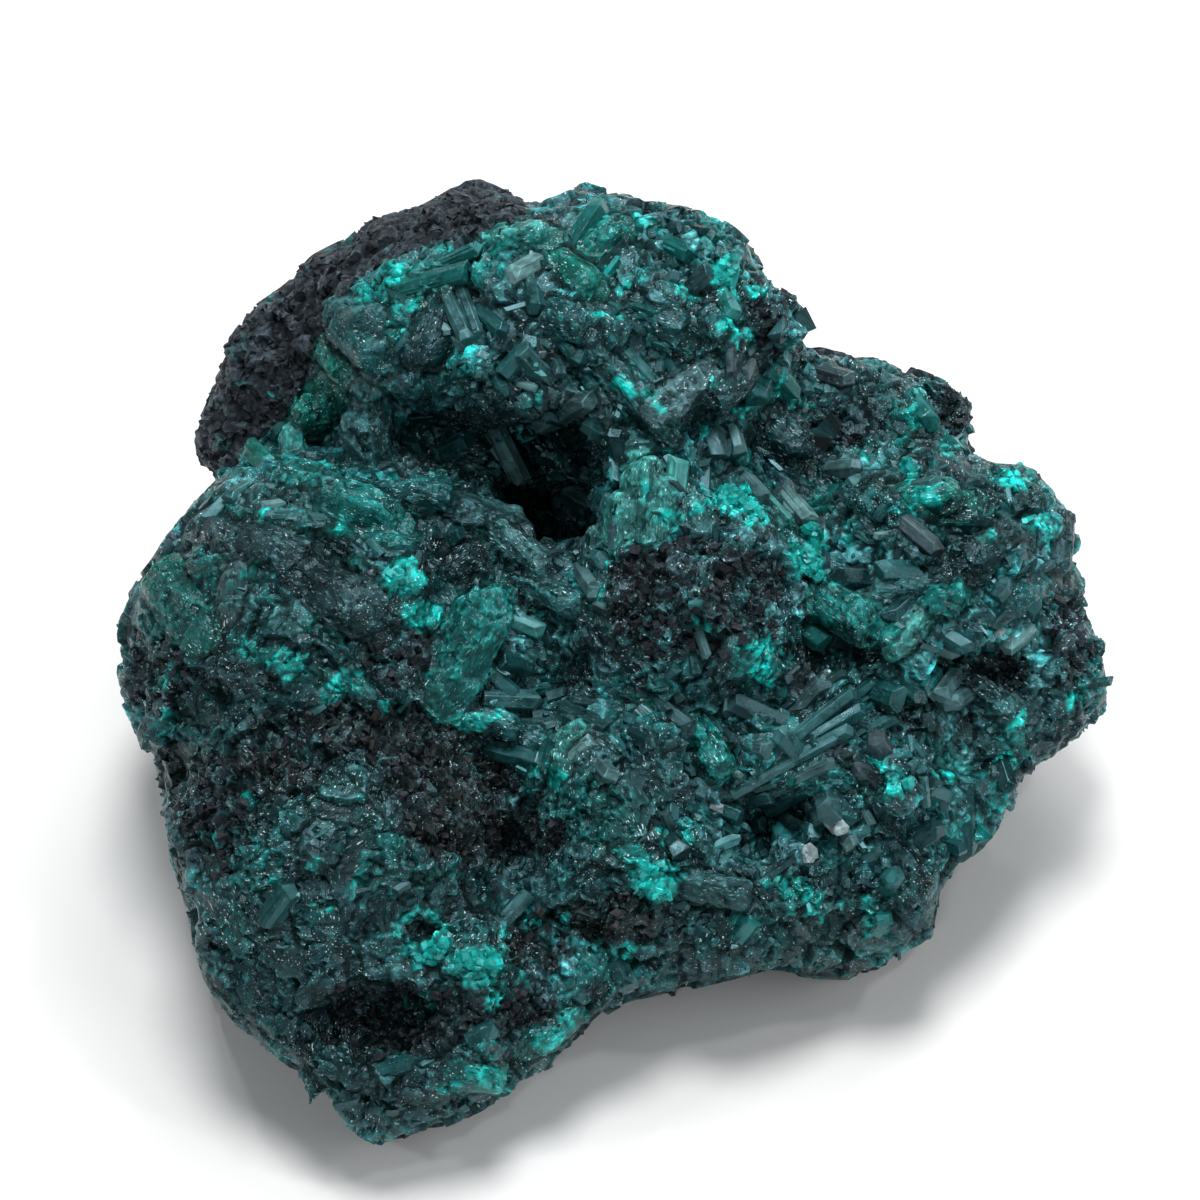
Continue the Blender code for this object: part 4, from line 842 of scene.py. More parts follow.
def kindsFor(plan, draws):  # a shape for each draw from 0 to 1
    kinds, upTo = zip(*plan["kinds"])
    return np.array(kinds)[np.searchsorted(upTo, draws, side="right")]


def setCrowd(store, plan, kinds, among, rng, *rows):  # roots, axes, widths, lengths, tints, and frost and glint amounts
    for kind in np.unique(kinds):
        own = (kinds == kind) & among
        setCrystals(store, kind, *[row[own] for row in rows], rng, plan["flatness"])


# Large crystals
eye = (faceMiddle + towardWay * view["distance"]) * mm


def sightHit(across, up):
    hit = rockTree.ray_cast(eye, (place(across, up, 0) - eye).normalized())[0]
    return hit or rockTree.find_nearest(place(across, up, -12))[0]


largeCrystals = []
for across0, up0, across1, up1, width, rise, tip, tone in prisms:
    root = sightHit(across0, up0)
    rootDepth = seen([root])[0][2]
    tipDepth = seen([sightHit(across1, up1)])[0][2]
    tipDepth = max(min(tipDepth, rootDepth + standingLarge["nearest"]), rootDepth - standingLarge["farthest"])
    end = place(across1, up1, tipDepth + rise)
    root = place(across0, up0, rootDepth - standingLarge["rootSunk"] * width)
    axis = (end - root).normalized()
    largeCrystals.append((root - axis * standingLarge["buried"] * mm, end, width * mm, tip, tone))
largeRoots = np.array([h[0] for h in largeCrystals])
largeWays = np.array([h[1] for h in largeCrystals]) - largeRoots
largeLengths = np.linalg.norm(largeWays, axis=1)
largeAxes = largeWays / largeLengths[:, None]
largeWidths = np.array([h[2] for h in largeCrystals])


def nearestLarge(spots):  # distance to the side of the nearest large crystal, and its number
    nearest = np.full(len(spots), 1.0)
    which = np.zeros(len(spots), int)
    for order in range(len(largeCrystals)):
        along = np.clip(((spots - largeRoots[order]) @ largeWays[order]) / largeLengths[order] ** 2, 0, 1)
        gap = np.linalg.norm(spots - largeRoots[order] - along[:, None] * largeWays[order], axis=1)
        gap = gap - largeWidths[order] / 2
        closer = gap < nearest
        nearest[closer], which[closer] = gap[closer], order
    return nearest, which


fused = np.array([width >= standingLarge["fusedFrom"] * mm and tone not in standingLarge["looseTones"]
                  for _, _, width, _, tone in largeCrystals])
loose = ~fused


def growLarge(store, root, end, width, tip, tone, rng):  # one large crystal with thinner ones grown along it
    axis = (end - root).normalized()
    length = (end - root).length
    colour, frostingAndGlint = np.array([tones[tone][0]]), np.array([tones[tone][1]])
    fine = "finePoint" if tip == "point" else "fineFlat"
    plain = "point" if tip == "point" else "flat"
    side = axis.orthogonal().normalized()
    if tone == "bright":  # a lump of small turquoise crystals
        amount = int(8 + 9 * width * length / mm / mm)
        along, turn = rng.random(amount), rng.uniform(0, math.tau, amount)
        frame = framesFor(np.array([axis]), np.zeros(1))[0]
        ways = np.cos(turn)[:, None] * frame[:, 0] + np.sin(turn)[:, None] * frame[:, 1]
        spread = width * 0.5 * np.sqrt(1 - (2 * along - 1) ** 2)
        middles = np.array(root) + np.array(axis) * (along * length)[:, None] + ways * (spread * 0.5)[:, None]
        thick = rng.uniform(0.35, 1.1, amount) * mm
        leans = ways + 0.6 * rng.normal(size=(amount, 3)) + np.array(towardWay) * 0.5
        leans /= np.linalg.norm(leans, axis=1)[:, None]
        setCrystals(store, "point", middles - leans * thick[:, None] * 0.6, leans, thick, thick * 1.5,
                    colour * np.exp(rng.normal(0, 0.35, amount))[:, None],
                    np.full(amount, frostingAndGlint[0]), rng, 0.3)
        return
    setCrystals(store, fine, [root], [axis], np.array([width]), np.array([length]), colour, frostingAndGlint, rng, 0.15)
    for rib in range(min(7, 2 + int(1.6 * width / mm))):
        turn = Matrix.Rotation(rng.uniform(0, math.tau), 3, axis)
        aside = turn @ side
        thick = width * rng.uniform(0.25, 0.7)
        start = root + aside * (width * 0.46 - thick * rng.uniform(0.32, 0.5))
        lean = (axis + aside * rng.uniform(-0.02, 0.03)).normalized()
        setCrystals(store, fine if thick > 1.0 * mm else plain, [start], [lean], np.array([thick]),
                    np.array([length * rng.uniform(0.55, 0.98)]), colour * rng.uniform(0.75, 1.3),
                    frostingAndGlint * rng.uniform(0.7, 1.4), rng, 0.4)


# Blocks grown into the rock, all fused into one fine mesh with it
pits = [(across, up, halfAcross + 0.7, halfUp + 0.7)
        for (across, up, _), (halfAcross, halfUp, _) in body["hollows"] if halfUp < 3.0]
rng = np.random.default_rng(9)
blockStore = newStore()
for order, name in enumerate(("block", "chip")):
    plan = sizes[name]
    spots, outward = spotsOn(rock.data, plan["gap"], 60 + order)
    number = crustNumber(spots)
    clear = np.array([rockTree.ray_cast(Vector(s + n * 0.3 * mm), Vector(n), 5 * mm)[0] is None
                      for s, n in zip(spots, outward)])
    calm = np.maximum(patchField(spots, patches["fine"], 1.0), patchField(spots, patches["dark"], 1.5))
    keep = clear & ((number >= 0) if name == "block" else (number < 0)) & (rng.random(len(spots)) > 0.25 * calm)
    keep &= patchField(spots, pits, 0.5) < 0.5
    spots, outward, calm = spots[keep], outward[keep], calm[keep]
    axes, widths, lengths, sunk, depth = standing(spots, outward, plan, rng)
    widths, lengths, sunk, depth = (x * (1 - 0.45 * calm) for x in (widths, lengths, sunk, depth))
    gap, which = nearestLarge(spots)
    kin = (gap < 1.5 * mm) & (rng.random(len(spots)) < 0.7)
    axes[kin] = largeAxes[which[kin]] + 0.25 * outward[kin]
    roots = spots - axes * sunk[:, None] - outward * (depth + 0.35 * mm)[:, None]
    kinds = kindsFor(plan, rng.random(len(spots)))
    setCrowd(blockStore, plan, kinds, True, rng, roots, axes, widths, lengths,
             np.zeros((len(spots), 3)), np.zeros(len(spots)))
    print(name, len(spots))
setCrystals(blockStore, "flat", (largeRoots - largeWays * 0.05)[loose], largeWays[loose],
            largeWidths[loose] * 1.06, largeLengths[loose] * 0.4,
            np.zeros((loose.sum(), 3)), np.zeros(loose.sum()), rng)
for order in np.flatnonzero(fused):
    growLarge(blockStore, *largeCrystals[order], rng)
bm = bmesh.new()
bm.from_mesh(rock.data)
bm.from_mesh(storeMesh("blocks", blockStore))
bm.to_mesh(rock.data)
bm.free()
remesh(rock, fineRock["voxel"], 0)


def sharpnessOf(mesh, points, outward):  # above 0 on ridges and below in furrows
    ends = np.empty(len(mesh.edges) * 2, np.int32)
    mesh.edges.foreach_get("vertices", ends)
    ends = ends.reshape(-1, 2)
    count = np.bincount(ends.ravel(), minlength=len(points))
    around = np.stack([np.bincount(ends[:, 0], points[ends[:, 1], axis], len(points))
                       + np.bincount(ends[:, 1], points[ends[:, 0], axis], len(points))
                       for axis in range(3)], axis=1)
    around /= np.maximum(count, 1)[:, None]
    return np.sum((points - around) * outward, axis=1) / (fineRock["voxel"] * mm)


points = meshArrays(rock.data)[0]
normals = normalsOf(rock.data)
lift = fineRock["drift"] * (lattice(points, 2.6, 1) - 0.5)
for order, (size, height, slope) in enumerate(fineRock["facets"]):
    lift += height * facets(points, size, 40 + 20 * order, slope / height)
coarse = patchField(points, patches["granular"], 1.0)
(size0, height0, slope0), (size1, height1, slope1) = fineRock["granular"]
lift += coarse * (height0 * facets(points, size0, 140, slope0) + height1 * facets(points, size1, 160, slope1)
                  - fineRock["granularDepth"])
lift += fineRock["turquoiseRise"] * patchField(points, patches["turquoise"], 0.4) \
    - fineRock["pitDepth"] * patchField(points, pits, 0.6)
gap, which = nearestLarge(points)
lift *= np.where((gap < 0.3 * mm) & fused[which], fineRock["onLarge"], 1.0)
calmed = np.clip(1.1 - 3.0 * sharpnessOf(rock.data, points, normals), 0.15, 1.0)  # less on ridges
lift = np.clip(lift, *fineRock["limits"]) * calmed
flat = points[:, 2] < 0.4 * mm
lift *= np.clip(points[:, 2] / mm - 0.4, 0, 1)
points = points + normals * (lift * mm)[:, None]
points[flat, 2] = 0.0
points[:, 2] = np.maximum(points[:, 2], 0.0)
rock.data.vertices.foreach_set("co", points.ravel())
rock.data.update()
rock.data.shade_flat()
print("fine rock:", len(rock.data.polygons), "faces")


def groundLooks(mesh):  # tint with painted shade and light, frost and glint amount, and grain of the ground
    points = meshArrays(mesh)[0]
    outward = normalsOf(mesh)
    local = seen(points)
    sight = np.array(eye) - points
    sight /= np.linalg.norm(sight, axis=1)[:, None]
    front = np.clip(np.sum(sight * outward, axis=1) * 4 + 0.6, 0, 1) * (local[:, 2] > -34)
    inside = np.clip(crustDepth(points) / 0.8 + 0.5, 0, 1)[:, None]
    toneOf = {name: np.array(colour) for name, (colour, _) in tones.items()}
    blotchSize, blotchStrength = tinting["blotch"]
    blockSize, blockStrength = tinting["block"]
    tealSize, tealShare = tinting["teal"]
    greenSize, greenShare = tinting["greenSpots"]
    lostContrast, lostLight = tinting["calm"]
    blotch = lattice(points, blotchSize, 21)[:, None]
    speck = lattice(points, tinting["speck"], 22)[:, None]
    teal = np.clip(lattice(points, tealSize, 27)[:, None] * 3 - 1.7, 0, 1)
    green = np.clip(lattice(points, greenSize, 23)[:, None] * 3 - 2.2, 0, 1)
    block = hashed(cellOf(points, blockSize, 420)[0], 424)[:, None]
    calm = patchField(points, patches["fine"], 2.5) * front

    growth, frostAndGlint = toneAt(points)
    growth = growth * (1 - tealShare * teal) + toneOf["teal"] * tealShare * teal
    contrast = blotchStrength * (blotch - 0.5) + blockStrength * (block - 0.55)
    growth = growth * 0.93 * np.exp(contrast * (1 - lostContrast * calm)[:, None]) * (0.75 + 0.4 * speck)
    bare = toneOf["black"] * (0.6 + 0.9 * blotch) + toneOf["slate"] * 0.6 * speck
    bare = bare + toneOf["teal"] * green * greenShare
    colour = bare * (1 - inside) + growth * inside
    frostAndGlint = (0.25 + 0.75 * frostAndGlint) * inside[:, 0] + 0.12 * (1 - inside[:, 0])
    gap, which = nearestLarge(points)
    onLarge = (gap < 0.3 * mm) & fused[which]
    colour[onLarge] = np.array([toneOf[h[4]] for h in largeCrystals])[which[onLarge]] \
        * (0.38 + 0.5 * speck[onLarge])

    for name, tone, strength, soft in tinting["patches"]:
        share = patchField(points, patches[name], soft) * front * strength
        if name in ("granular", "brown"):
            share = share * np.clip(lattice(points, 1.5, 31) * 2.6 - 0.25, 0.25, 1)
        share = share[:, None]
        colour = colour * (1 - share) + toneOf[tone] * (0.35 + 0.8 * speck) * share
        if name in ("turquoise", "teal"):
            frostAndGlint = frostAndGlint * (1 - 0.5 * share[:, 0])
    # painted shade in the pits and the fine areas, and painted light towards the right side
    edgeFrom, edgeWidth, edgeLight = tinting["rightSideLight"]
    light = (1 - tinting["pitShade"] * patchField(points, pits, 0.5) * front) * (1 - lostLight * calm)
    light = light * (1 + edgeLight * np.clip((local[:, 0] - edgeFrom) / edgeWidth, 0, 1))
    # painted light on ridges and painted shade in furrows, from the sharpness
    sharp = sharpnessOf(mesh, points, outward)
    strength, darkest, lightest = tinting["ridgeLightFurrowShade"]
    colour = colour * light[:, None] * np.clip(np.exp(strength * sharp), darkest, lightest)[:, None]
    # more frost, and brighter painted glint strokes, on ridges
    frostAndGlint = frostAndGlint + np.clip(sharp * 2, 0, 0.4) * inside[:, 0]
    axes = strikeOf(points)
    axes[onLarge] = largeAxes[which[onLarge]]
    frames = framesFor(axes, np.zeros(len(axes)))
    return colour, frostAndGlint, np.einsum("nij,ni->nj", frames, points) / mm


# The large crystals that stand on the ground, of clear crystal
rng = np.random.default_rng(12)
names = list(areas)
stores = {name: newStore() for name in names}
for order in np.flatnonzero(loose):
    middle = (largeCrystals[order][0] + largeCrystals[order][1]) / 2
    growLarge(stores[names[max(0, crustNumber(np.array([middle]))[0])]], *largeCrystals[order], rng)
print("large crystals:", len(largeCrystals))

# The crowd of smaller crystals and grains
crowdPatches = (("turquoise", 0.3), ("teal", 0.6), ("granular", 0.8), ("brown", 0.8), ("dark", 1.5),
                ("fine", 1.0), ("busy", 2.0))  # and how soft their edges are
bareStore = newStore()
druseStore = newStore()
for order, name in enumerate(("stout", "small", "tiny", "grains")):
    plan = sizes[name]
    rng = np.random.default_rng(50 + order)
    spots, outward = spotsOn(rock.data, plan["gap"], 70 + order)
    number = crustNumber(spots)
    gap, which = nearestLarge(spots)
    turquoise, teal, granular, brown, dark, fine, busy = (
        patchField(spots, patches[patch], soft) for patch, soft in crowdPatches)
    facing = facingOf(spots, outward)
    rim = facing < 0.3
    chance = np.where(rim | (patchField(spots, pits, 0.5) > 0.5), 4.0, 1.0) * rng.random(len(spots))
    grown = (number >= 0) & (gap > -0.05 * mm)
    share, more = plan["share"]
    if name == "stout":
        keep = grown & (gap > 0.1 * mm) & (turquoise < 0.4) & (granular < 0.4) & (fine < 0.5)
        keep &= (facing > 0.5) & (chance < share + more * busy)
    elif name == "small":
        keep = grown & (turquoise < 0.5) & (granular < 0.5) & (chance < share + more * busy)
    elif name == "tiny":
        wanted = np.maximum(np.maximum(turquoise * 0.35, teal * 0.15), share + more * busy)
        keep = grown & (chance < wanted) & (granular < 0.7)
    else:
        keep = ((number < 0) & (chance < share)) | ((granular > 0.35) & (gap > 0) & (chance < more))
    spots, outward, number, which, gap, turquoise, teal, granular, brown, dark, fine = (
        x[keep] for x in (spots, outward, number, which, gap, turquoise, teal, granular, brown, dark, fine))
    amount = len(spots)
    axes, widths, lengths, sunk, depth = standing(spots, outward, plan, rng)
    kin = (gap < 2.2 * mm) & (rng.random(amount) < 0.6)  # like its large neighbour
    axes[kin] = largeAxes[which[kin]] + 0.3 * outward[kin] + 0.12 * rng.normal(size=(kin.sum(), 3))
    axes /= np.linalg.norm(axes, axis=1)[:, None]
    roots = spots - axes * sunk[:, None] - outward * depth[:, None]
    colours, frostsAndGlints = toneAt(spots)
    for field, tone in ((teal, "teal"), (turquoise, "bright")):
        hit = rng.random(amount) < field
        colours[hit], frostsAndGlints[hit] = tones[tone][0], tones[tone][1]
    odd = rng.random(amount) < (0.015 if name != "grains" else 0)
    colours[odd], frostsAndGlints[odd] = tones["pale"][0], tones["pale"][1]
    if name == "grains":
        colours[:] = np.where(rng.random(amount)[:, None] < 0.6, tones["black"][0], tones["slate"][0])
        purple = granular > 0.35
        colours[purple] = tones["plum"][0]
        colours[rng.random(amount) < brown] = tones["brown"][0]
    colours = colours * np.exp(rng.normal(-0.08, 0.4, amount))[:, None]
    # painted shade: crystals darker in the shaded hollows and in the fine areas
    colours = colours * ((1 - 0.7 * dark) * (1 - 0.3 * fine))[:, None]
    kinds = kindsFor(plan, rng.random(amount))
    for target in range(-1, 4):
        store = {"grains": bareStore, "tiny": druseStore}.get(name, stores[names[target]])
        setCrowd(store, plan, kinds, number == target, rng, roots, axes, widths, lengths, colours, frostsAndGlints)
    print(name, amount)


# Materials
class Strand:  # one socket of a material, with the arithmetic that is used on it
    def __init__(self, tree, socket=None):
        self.tree = tree
        self.socket = socket

    def node(self, kind, settings=None, inputs=None, output=0):
        made = self.tree.nodes.new(kind)
        for name, value in (settings or {}).items():
            setattr(made, name, value)
        for key, value in (inputs or {}).items():
            if isinstance(value, Strand):
                self.tree.links.new(value.socket, made.inputs[key])
            else:
                made.inputs[key].default_value = value
        return Strand(self.tree, made.outputs[output])

    def maths(self, operation, first, second=0.5, clamp=False):
        return self.node("ShaderNodeMath", {"operation": operation, "use_clamp": clamp}, {0: first, 1: second})

    def __add__(self, other):
        return self.maths("ADD", self, other)

    def __sub__(self, other):
        return self.maths("SUBTRACT", self, other)

    def __rsub__(self, other):
        return self.maths("SUBTRACT", other, self)

    def __mul__(self, other):
        return self.maths("MULTIPLY", self, other)

    __radd__ = __add__
    __rmul__ = __mul__

    def vector(self, operation, first, second, output=0):
        return self.node("ShaderNodeVectorMath", {"operation": operation},
                         {0: first, "Scale" if operation == "SCALE" else 1: second}, output)

    def along(self, stretch):  # a grain drawn out along the crystal
        return self.vector("MULTIPLY", self, (1.0, 1.0, stretch))

    def bump(self, strength):
        return self.node("ShaderNodeBump", {}, {"Strength": strength, "Distance": 0.001, "Height": self})

    def surface(self, look, inputs):
        return self.node("ShaderNodeBsdfPrincipled", {}, {
            "Specular IOR Level": look["specular"], "Specular Tint": look["sheen"], **inputs})

    def between(self, low, high):
        return self.node("ShaderNodeMapRange", {"clamp": True}, {
            "Value": self, "From Min": low, "From Max": high})

    def mixed(self, first, second):  # two colours, by this socket
        return self.node("ShaderNodeMix", {"data_type": "RGBA"}, {0: self, 6: first, 7: second}, 2)

    def noise(self, where, scale, detail=2.0, roughness=0.5):
        return self.node("ShaderNodeTexNoise", {}, {"Vector": where, "Scale": scale, "Detail": detail,
                                                    "Roughness": roughness})

    def facets(self, where, scale):  # height of tilted flat faces, and two random numbers for each
        colour = self.node("ShaderNodeTexVoronoi", {}, {"Vector": where, "Scale": scale}, "Color")
        middle = Strand(self.tree, colour.socket.node.outputs["Position"])
        away = self.vector("SUBTRACT", where, middle)
        way = self.vector("SUBTRACT", colour, (0.5, 0.5, 0.5))
        parts = self.node("ShaderNodeSeparateColor", {}, {0: colour})
        return (self.vector("DOT_PRODUCT", away, way, "Value"), parts,
                Strand(self.tree, parts.socket.node.outputs[1]))


def newMaterial(name, viewColour):
    made = bpy.data.materials.new(name)
    made.use_nodes = True
    made.node_tree.nodes.clear()
    made.diffuse_color = (*viewColour, 1.0)
    return made, Strand(made.node_tree)


def surfaceMaterial(name, viewColour):  # a material and what it reads from the mesh
    made, start = newMaterial(name, viewColour)
    tint = start.node("ShaderNodeAttribute", {"attribute_name": "tint"})
    grain = start.node("ShaderNodeAttribute", {"attribute_name": "grain"}, output="Vector")
    frostAndGlint = start.node("ShaderNodeAttribute", {"attribute_name": "frostAndGlint"}, output="Fac")
    return made, start, tint, grain, frostAndGlint, start.node("ShaderNodeTexCoord", output="Object")


def finishMaterial(start, shader, volume=None):
    out = start.tree.nodes.new("ShaderNodeOutputMaterial")
    start.tree.links.new(shader.socket, out.inputs["Surface"])
    if volume:
        start.tree.links.new(volume.socket, out.inputs["Volume"])


crystalLook = {
    "ior": 1.66,
    "clearColour": (0.45, 0.86, 0.82),
    "absorbed": (0.03, 0.6, 0.56, 1.0),
    "absorption": 650.0,
    # the frost's colour, also used for the painted highlight on the bevelled edges
    "frostAndEdgeLightColour": (0.09, 0.2, 0.21),
    # the colour and the pitch of the painted glint strokes on the crystals
    "glintColour": (0.5, 0.64, 0.66, 1.0),
    "specular": 0.45,
    "sheen": (0.45, 0.88, 1.0, 1.0),
    "streakPitch": 2.6,
    "panelPitch": 1.5,
    "glintPitch": 8.0,
    "cloudScale": 700.0,
    "roughness": 0.18,
}


def crystalMaterial():
    look = crystalLook
    made, start, tint, grain, frostAndGlint, spot = surfaceMaterial("dioptaseCrystal", (0.0, 0.1, 0.08))
    edge = start.node("ShaderNodeAttribute", {"attribute_name": "edge"}, output="Fac")
    streaks = start.noise(grain.along(0.14), look["streakPitch"], 4.0, 0.7)
    cloud = start.noise(spot, look["cloudScale"], 4.0, 0.65)
    panel, tone, _ = start.facets(grain.along(0.4), look["panelPitch"])
    # painted glints: pale strokes mixed into the crystals' colour
    glintStrokes = start.noise(grain.along(0.3), look["glintPitch"], 2.0, 0.6).between(0.66, 0.7)
    shade = streaks.between(0.3, 0.7) * 0.6 + cloud.between(0.3, 0.7) * 0.6 + tone * 0.4 + 0.2
    base = start.vector("SCALE", tint, shade)
    pale = start.vector("ADD", base, look["frostAndEdgeLightColour"])
    # frost veil, plus a painted highlight on the bevelled edges
    veilAndEdgeLight = frostAndGlint * (streaks.between(0.45, 0.7) * 0.35 + cloud.between(0.5, 0.72) * 0.3) \
        + edge * (0.04 + frostAndGlint * 0.3)
    glintMix = start.maths("MULTIPLY", glintStrokes, 0.3 + frostAndGlint * 0.5, True)
    veiledAndEdgeLit = start.maths("MULTIPLY", veilAndEdgeLight, 1.0, True).mixed(base, pale)
    skinColour = glintMix.mixed(veiledAndEdgeLit, look["glintColour"])
    rough = look["roughness"] + cloud.between(0.35, 0.65) * 0.2 + frostAndGlint * 0.2
    bump = (panel * 0.3 + streaks * 0.05 + glintStrokes * 0.02).bump(0.6)
    clearColour = start.vector("SCALE", look["clearColour"], cloud.between(0.2, 0.8) * 0.5 + 0.5)
    shared = {"Roughness": rough, "Normal": bump, "IOR": look["ior"]}
    clear = start.surface(look, {"Base Color": clearColour, "Transmission Weight": 1.0, **shared})
    cloudy = start.surface(look, {"Base Color": skinColour, **shared})
    share = start.maths("ADD", 0.45 + cloud.between(0.3, 0.7) * 0.3 + frostAndGlint * 0.3, veilAndEdgeLight * 0.5 + glintStrokes, True)
    skin = start.node("ShaderNodeMixShader", {}, {0: share, 1: clear, 2: cloudy})
    volume = start.node("ShaderNodeVolumeAbsorption", {}, {
        "Color": look["absorbed"], "Density": look["absorption"]})
    finishMaterial(start, skin, volume)
    return made


groundLook = {
    # the crust's and rock's glint colours and strengths are for the painted glint strokes and specks
    "crust": {"panel": 2.2, "relief": 0.85, "glintAmount": 1.1, "rough": 0.16,
              "glint": (0.6, 0.76, 0.78), "specular": 0.5, "sheen": (0.5, 0.88, 1.0, 1.0)},
    "rock": {"panel": 3.2, "relief": 1.0, "glintAmount": 0.5, "rough": 0.42,
             "glint": (0.2, 0.22, 0.24), "specular": 0.4, "sheen": (0.75, 0.85, 1.0, 1.0)},
}


def groundMaterial(name, look):
    made, start, tint, grain, frostAndGlint, spot = surfaceMaterial(name, (0.01, 0.04, 0.04))
    cloud = start.noise(spot, 450.0, 4.0, 0.65)
    panel, tone, second = start.facets(grain.along(0.4), look["panel"])
    strokes = start.noise(grain.along(0.28), 6.5, 2.0, 0.6)
    cluster = start.noise(spot, 160.0, 3.0, 0.6).between(0.46, 0.62) + 0.28
    # painted glints: pale strokes and specks mixed into the ground's colour
    glintStrokes = strokes.between(0.655, 0.68) * (0.8 + frostAndGlint) * cluster * look["glintAmount"]
    glintSpecks = start.noise(spot, 2600.0, 1.0).between(0.75, 0.79) * (0.2 + frostAndGlint) * cluster
    shade = tone * 0.7 + cloud.between(0.3, 0.7) * 0.7 + strokes.between(0.3, 0.7) * 0.4 + 0.1
    base = start.vector("SCALE", tint, shade)
    light = start.vector("ADD", base, look["glint"])
    colour = start.maths("ADD", glintStrokes, glintSpecks, True).mixed(base, light)
    rough = look["rough"] + second * 0.3
    bump = (panel * look["relief"] + strokes * 0.12 + cloud * 0.1).bump(0.8)
    finishMaterial(start, start.surface(look, {"Base Color": colour, "Roughness": rough, "Normal": bump}))
    return made


crystalFinish = crystalMaterial()
crustGround = groundMaterial("crustGround", groundLook["crust"])
bareRock = groundMaterial("bareRock", groundLook["rock"])


def finishPiece(obj, finish, slotName, *nodes):
    obj.data.transform(Matrix.Translation(baseShift))
    obj.data.materials.clear()
    obj.data.materials.append(finish)
    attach(obj, "root")
    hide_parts(*nodes)
    print(obj.name, sum(len(f.vertices) - 2 for f in obj.data.polygons), "triangles")


def thinned(obj, indices, share):  # fewer faces where nothing is seen
    group = obj.vertex_groups.new(name="hidden")
    group.add([int(i) for i in indices], 1.0, "REPLACE")
    modifier = obj.modifiers.new("Thinner", "DECIMATE")
    modifier.ratio = share
    modifier.vertex_group = "hidden"
    bake(obj)
    obj.vertex_groups.clear()


# The skins of ground under the crystals, one for each crust, and the rock beneath
faceNumber = crustNumber(np.array([f.center for f in rock.data.polygons]))
for order, name in enumerate(names):
    bm = bmesh.new()
    bm.from_mesh(rock.data)
    bm.faces.ensure_lookup_table()
    gone = [bm.faces[i] for i in np.flatnonzero(faceNumber != order)]
    bmesh.ops.delete(bm, geom=gone, context="FACES")
    bm.normal_update()
    outwardLayer = bm.verts.layers.float_vector.new("outward")
    innerLayer = bm.verts.layers.int.new("inner")
    for vert in bm.verts:
        vert[outwardLayer] = vert.normal
    grown = bmesh.ops.extrude_face_region(bm, geom=bm.faces[:], use_keep_orig=True)
    for vert in (v for v in grown["geom"] if isinstance(v, bmesh.types.BMVert)):
        vert.co -= vert[outwardLayer] * (crust["skin"] * mm)
        vert[innerLayer] = 1
    short = name.split("_")[0]
    skin = newObject(short + "Ground", meshFrom(bm, short + "Ground"))
    inner = np.empty(len(skin.data.vertices), np.int32)
    skin.data.attributes["inner"].data.foreach_get("value", inner)
    thinned(skin, np.flatnonzero(inner), crust["skinKept"])
    attributesOf(skin.data, *groundLooks(skin.data))
    skin.data.shade_flat()
    finishPiece(skin, crustGround, "dioptase", name)
    finishPiece(newObject(short + "Crystals", storeMesh(short + "Crystals", stores[name])),
                crystalFinish, "dioptase", name)

matrixRock = newObject("matrixRock", rock.data.copy())
attributesOf(matrixRock.data, *groundLooks(matrixRock.data))
depth = crustDepth(points)
sink = crust["rockSink"] * np.clip(depth / 0.9, 0, 1) * (points[:, 2] > 1.0 * mm)
outward = normalsOf(matrixRock.data)
matrixRock.data.vertices.foreach_set("co", (points - outward * (sink * mm)[:, None]).ravel())
matrixRock.data.update()
thinned(matrixRock, np.flatnonzero(depth > 1.2), crust["rockKept"])
matrixRock.data.shade_flat()
finishPiece(matrixRock, bareRock, "matrix", "matrix")
finishPiece(newObject("matrixGrains", storeMesh("matrixGrains", bareStore)), bareRock, "matrix", "matrix")
finishPiece(newObject("druse", storeMesh("druse", druseStore)), crystalFinish, "dioptase", *names)
bpy.data.objects.remove(rock)

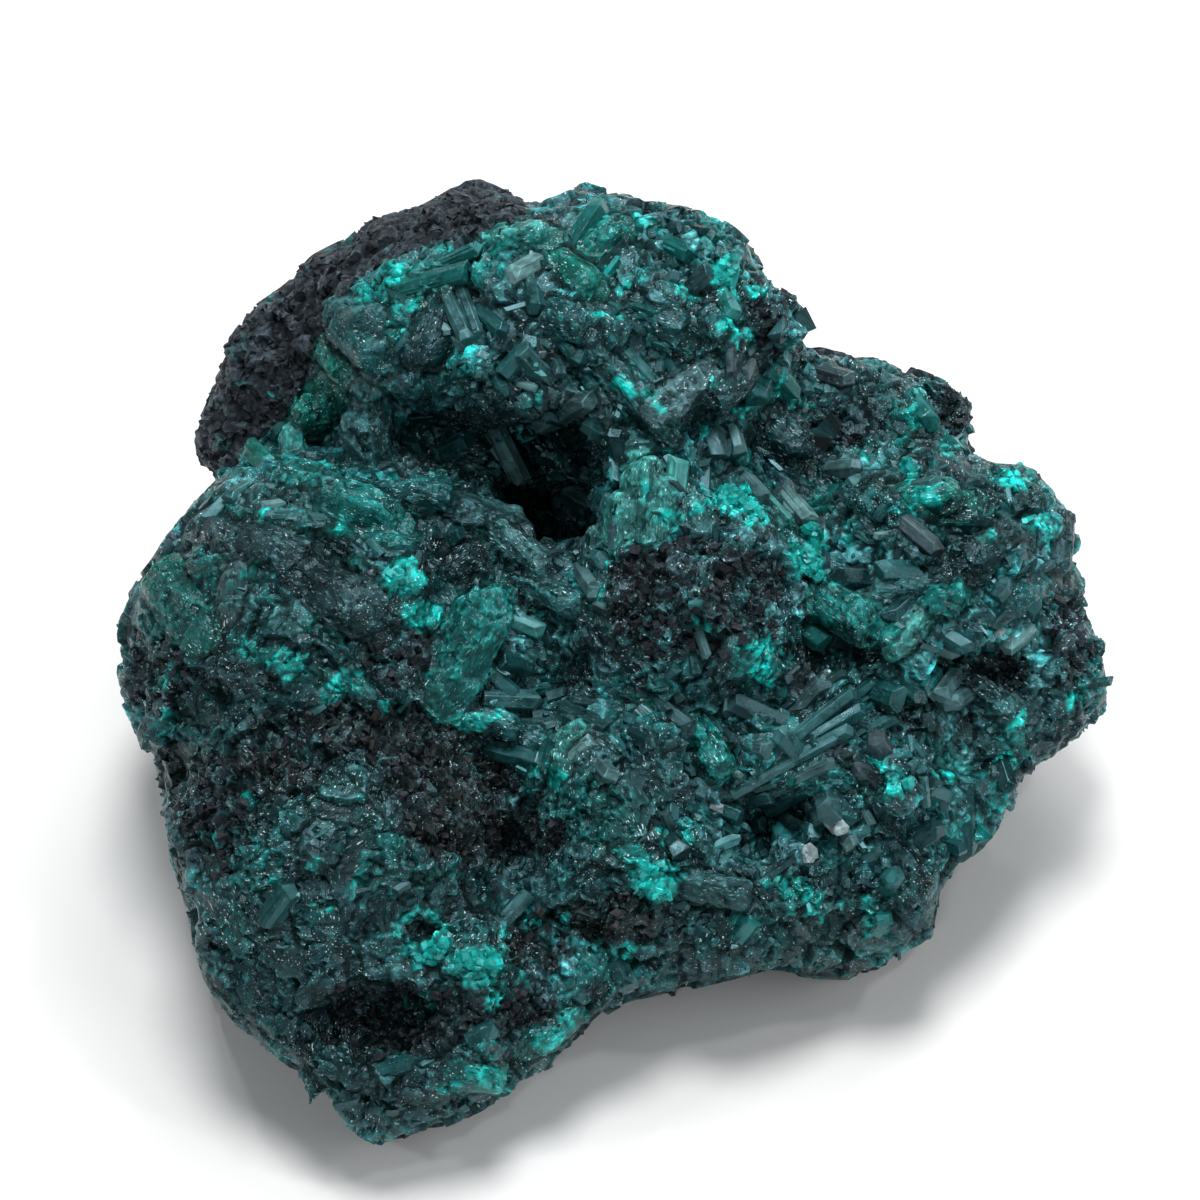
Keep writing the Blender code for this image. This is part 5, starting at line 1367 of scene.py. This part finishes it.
# Studio
studio = {
    "lamps": (  # across, up and toward from the middle in metres, size in metres, power in watts
        ("keyLight", -0.02, 0.6, 0.5, 0.3, 4.2), ("fillLight", 0.6, 0.1, 0.5, 0.6, 1.4),
        ("topLight", 0.15, 0.6, 0.15, 0.35, 1.5), ("glintLeft", -0.7, 0.2, 0.5, 0.08, 0.75),
        ("glintRight", 0.5, 0.5, 0.6, 0.08, 0.75), ("glintFront", -0.1, -0.1, 0.9, 0.08, 0.75),
        ("glintHigh", -0.3, 0.8, 0.35, 0.06, 0.75), ("glintBack", 0.35, 0.85, -0.1, 0.06, 0.75),
    ),
    "world": 0.15,
    "worldColour": (0.93, 0.97, 1.0),
    "floor": 0.86,
}


def softLight(name, across, up, toward, size, power):
    light = bpy.data.lights.new(name, "AREA")
    light.shape = "DISK"
    light.size = size
    light.energy = power
    lamp = newObject(name, light)
    target = (faceMiddle * mm + baseShift) * 0.6
    where = target + (acrossWay * across + upWay * up + towardWay * toward)
    turn = (where - target).to_track_quat("Z", "Y").to_matrix().to_4x4()
    lamp.matrix_world = Matrix.Translation(where) @ turn


for lamp in studio["lamps"]:
    softLight(*lamp)
world = bpy.data.worlds.new("studio")
bpy.context.scene.world = world
world.use_nodes = True
background = world.node_tree.nodes["Background"]
background.inputs["Color"].default_value = (*studio["worldColour"], 1.0)
background.inputs["Strength"].default_value = studio["world"]

bm = bmesh.new()
bmesh.ops.create_grid(bm, x_segments=1, y_segments=1, size=1.6)
floor = newObject("studioFloor", meshFrom(bm, "studioFloor"))
floor.location.z = -0.0001
made, start = newMaterial("paleFloor", (0.9, 0.9, 0.9))
spot = start.node("ShaderNodeTexCoord", output="Object")
shade = start.noise(spot, 40.0, 3.0).between(0.2, 0.8) * 0.02 + studio["floor"]
shader = start.node("ShaderNodeBsdfPrincipled", {}, {
    "Base Color": start.node("ShaderNodeCombineColor", {}, {0: shade, 1: shade, 2: shade}), "Roughness": 0.8})
finishMaterial(start, shader)
floor.data.materials.append(made)

camera = newObject("photoCamera", bpy.data.cameras.new("photoCamera"))
camera.data.lens = view["lens"]
camera.data.sensor_width = 36.0
camera.data.shift_x, camera.data.shift_y = view["frameShift"]
camera.data.clip_start, camera.data.clip_end = 0.02, 20.0
camera.matrix_world = Matrix.Translation(eye + baseShift) @ viewMatrix
bpy.context.scene.camera = camera
bpy.context.scene.view_settings.view_transform = "Standard"

total = 0
for obj in bpy.data.objects:
    if obj.type == "MESH" and not obj.hide_render:
        obj.data.calc_loop_triangles()
        total += len(obj.data.loop_triangles)
print("triangles:", total)
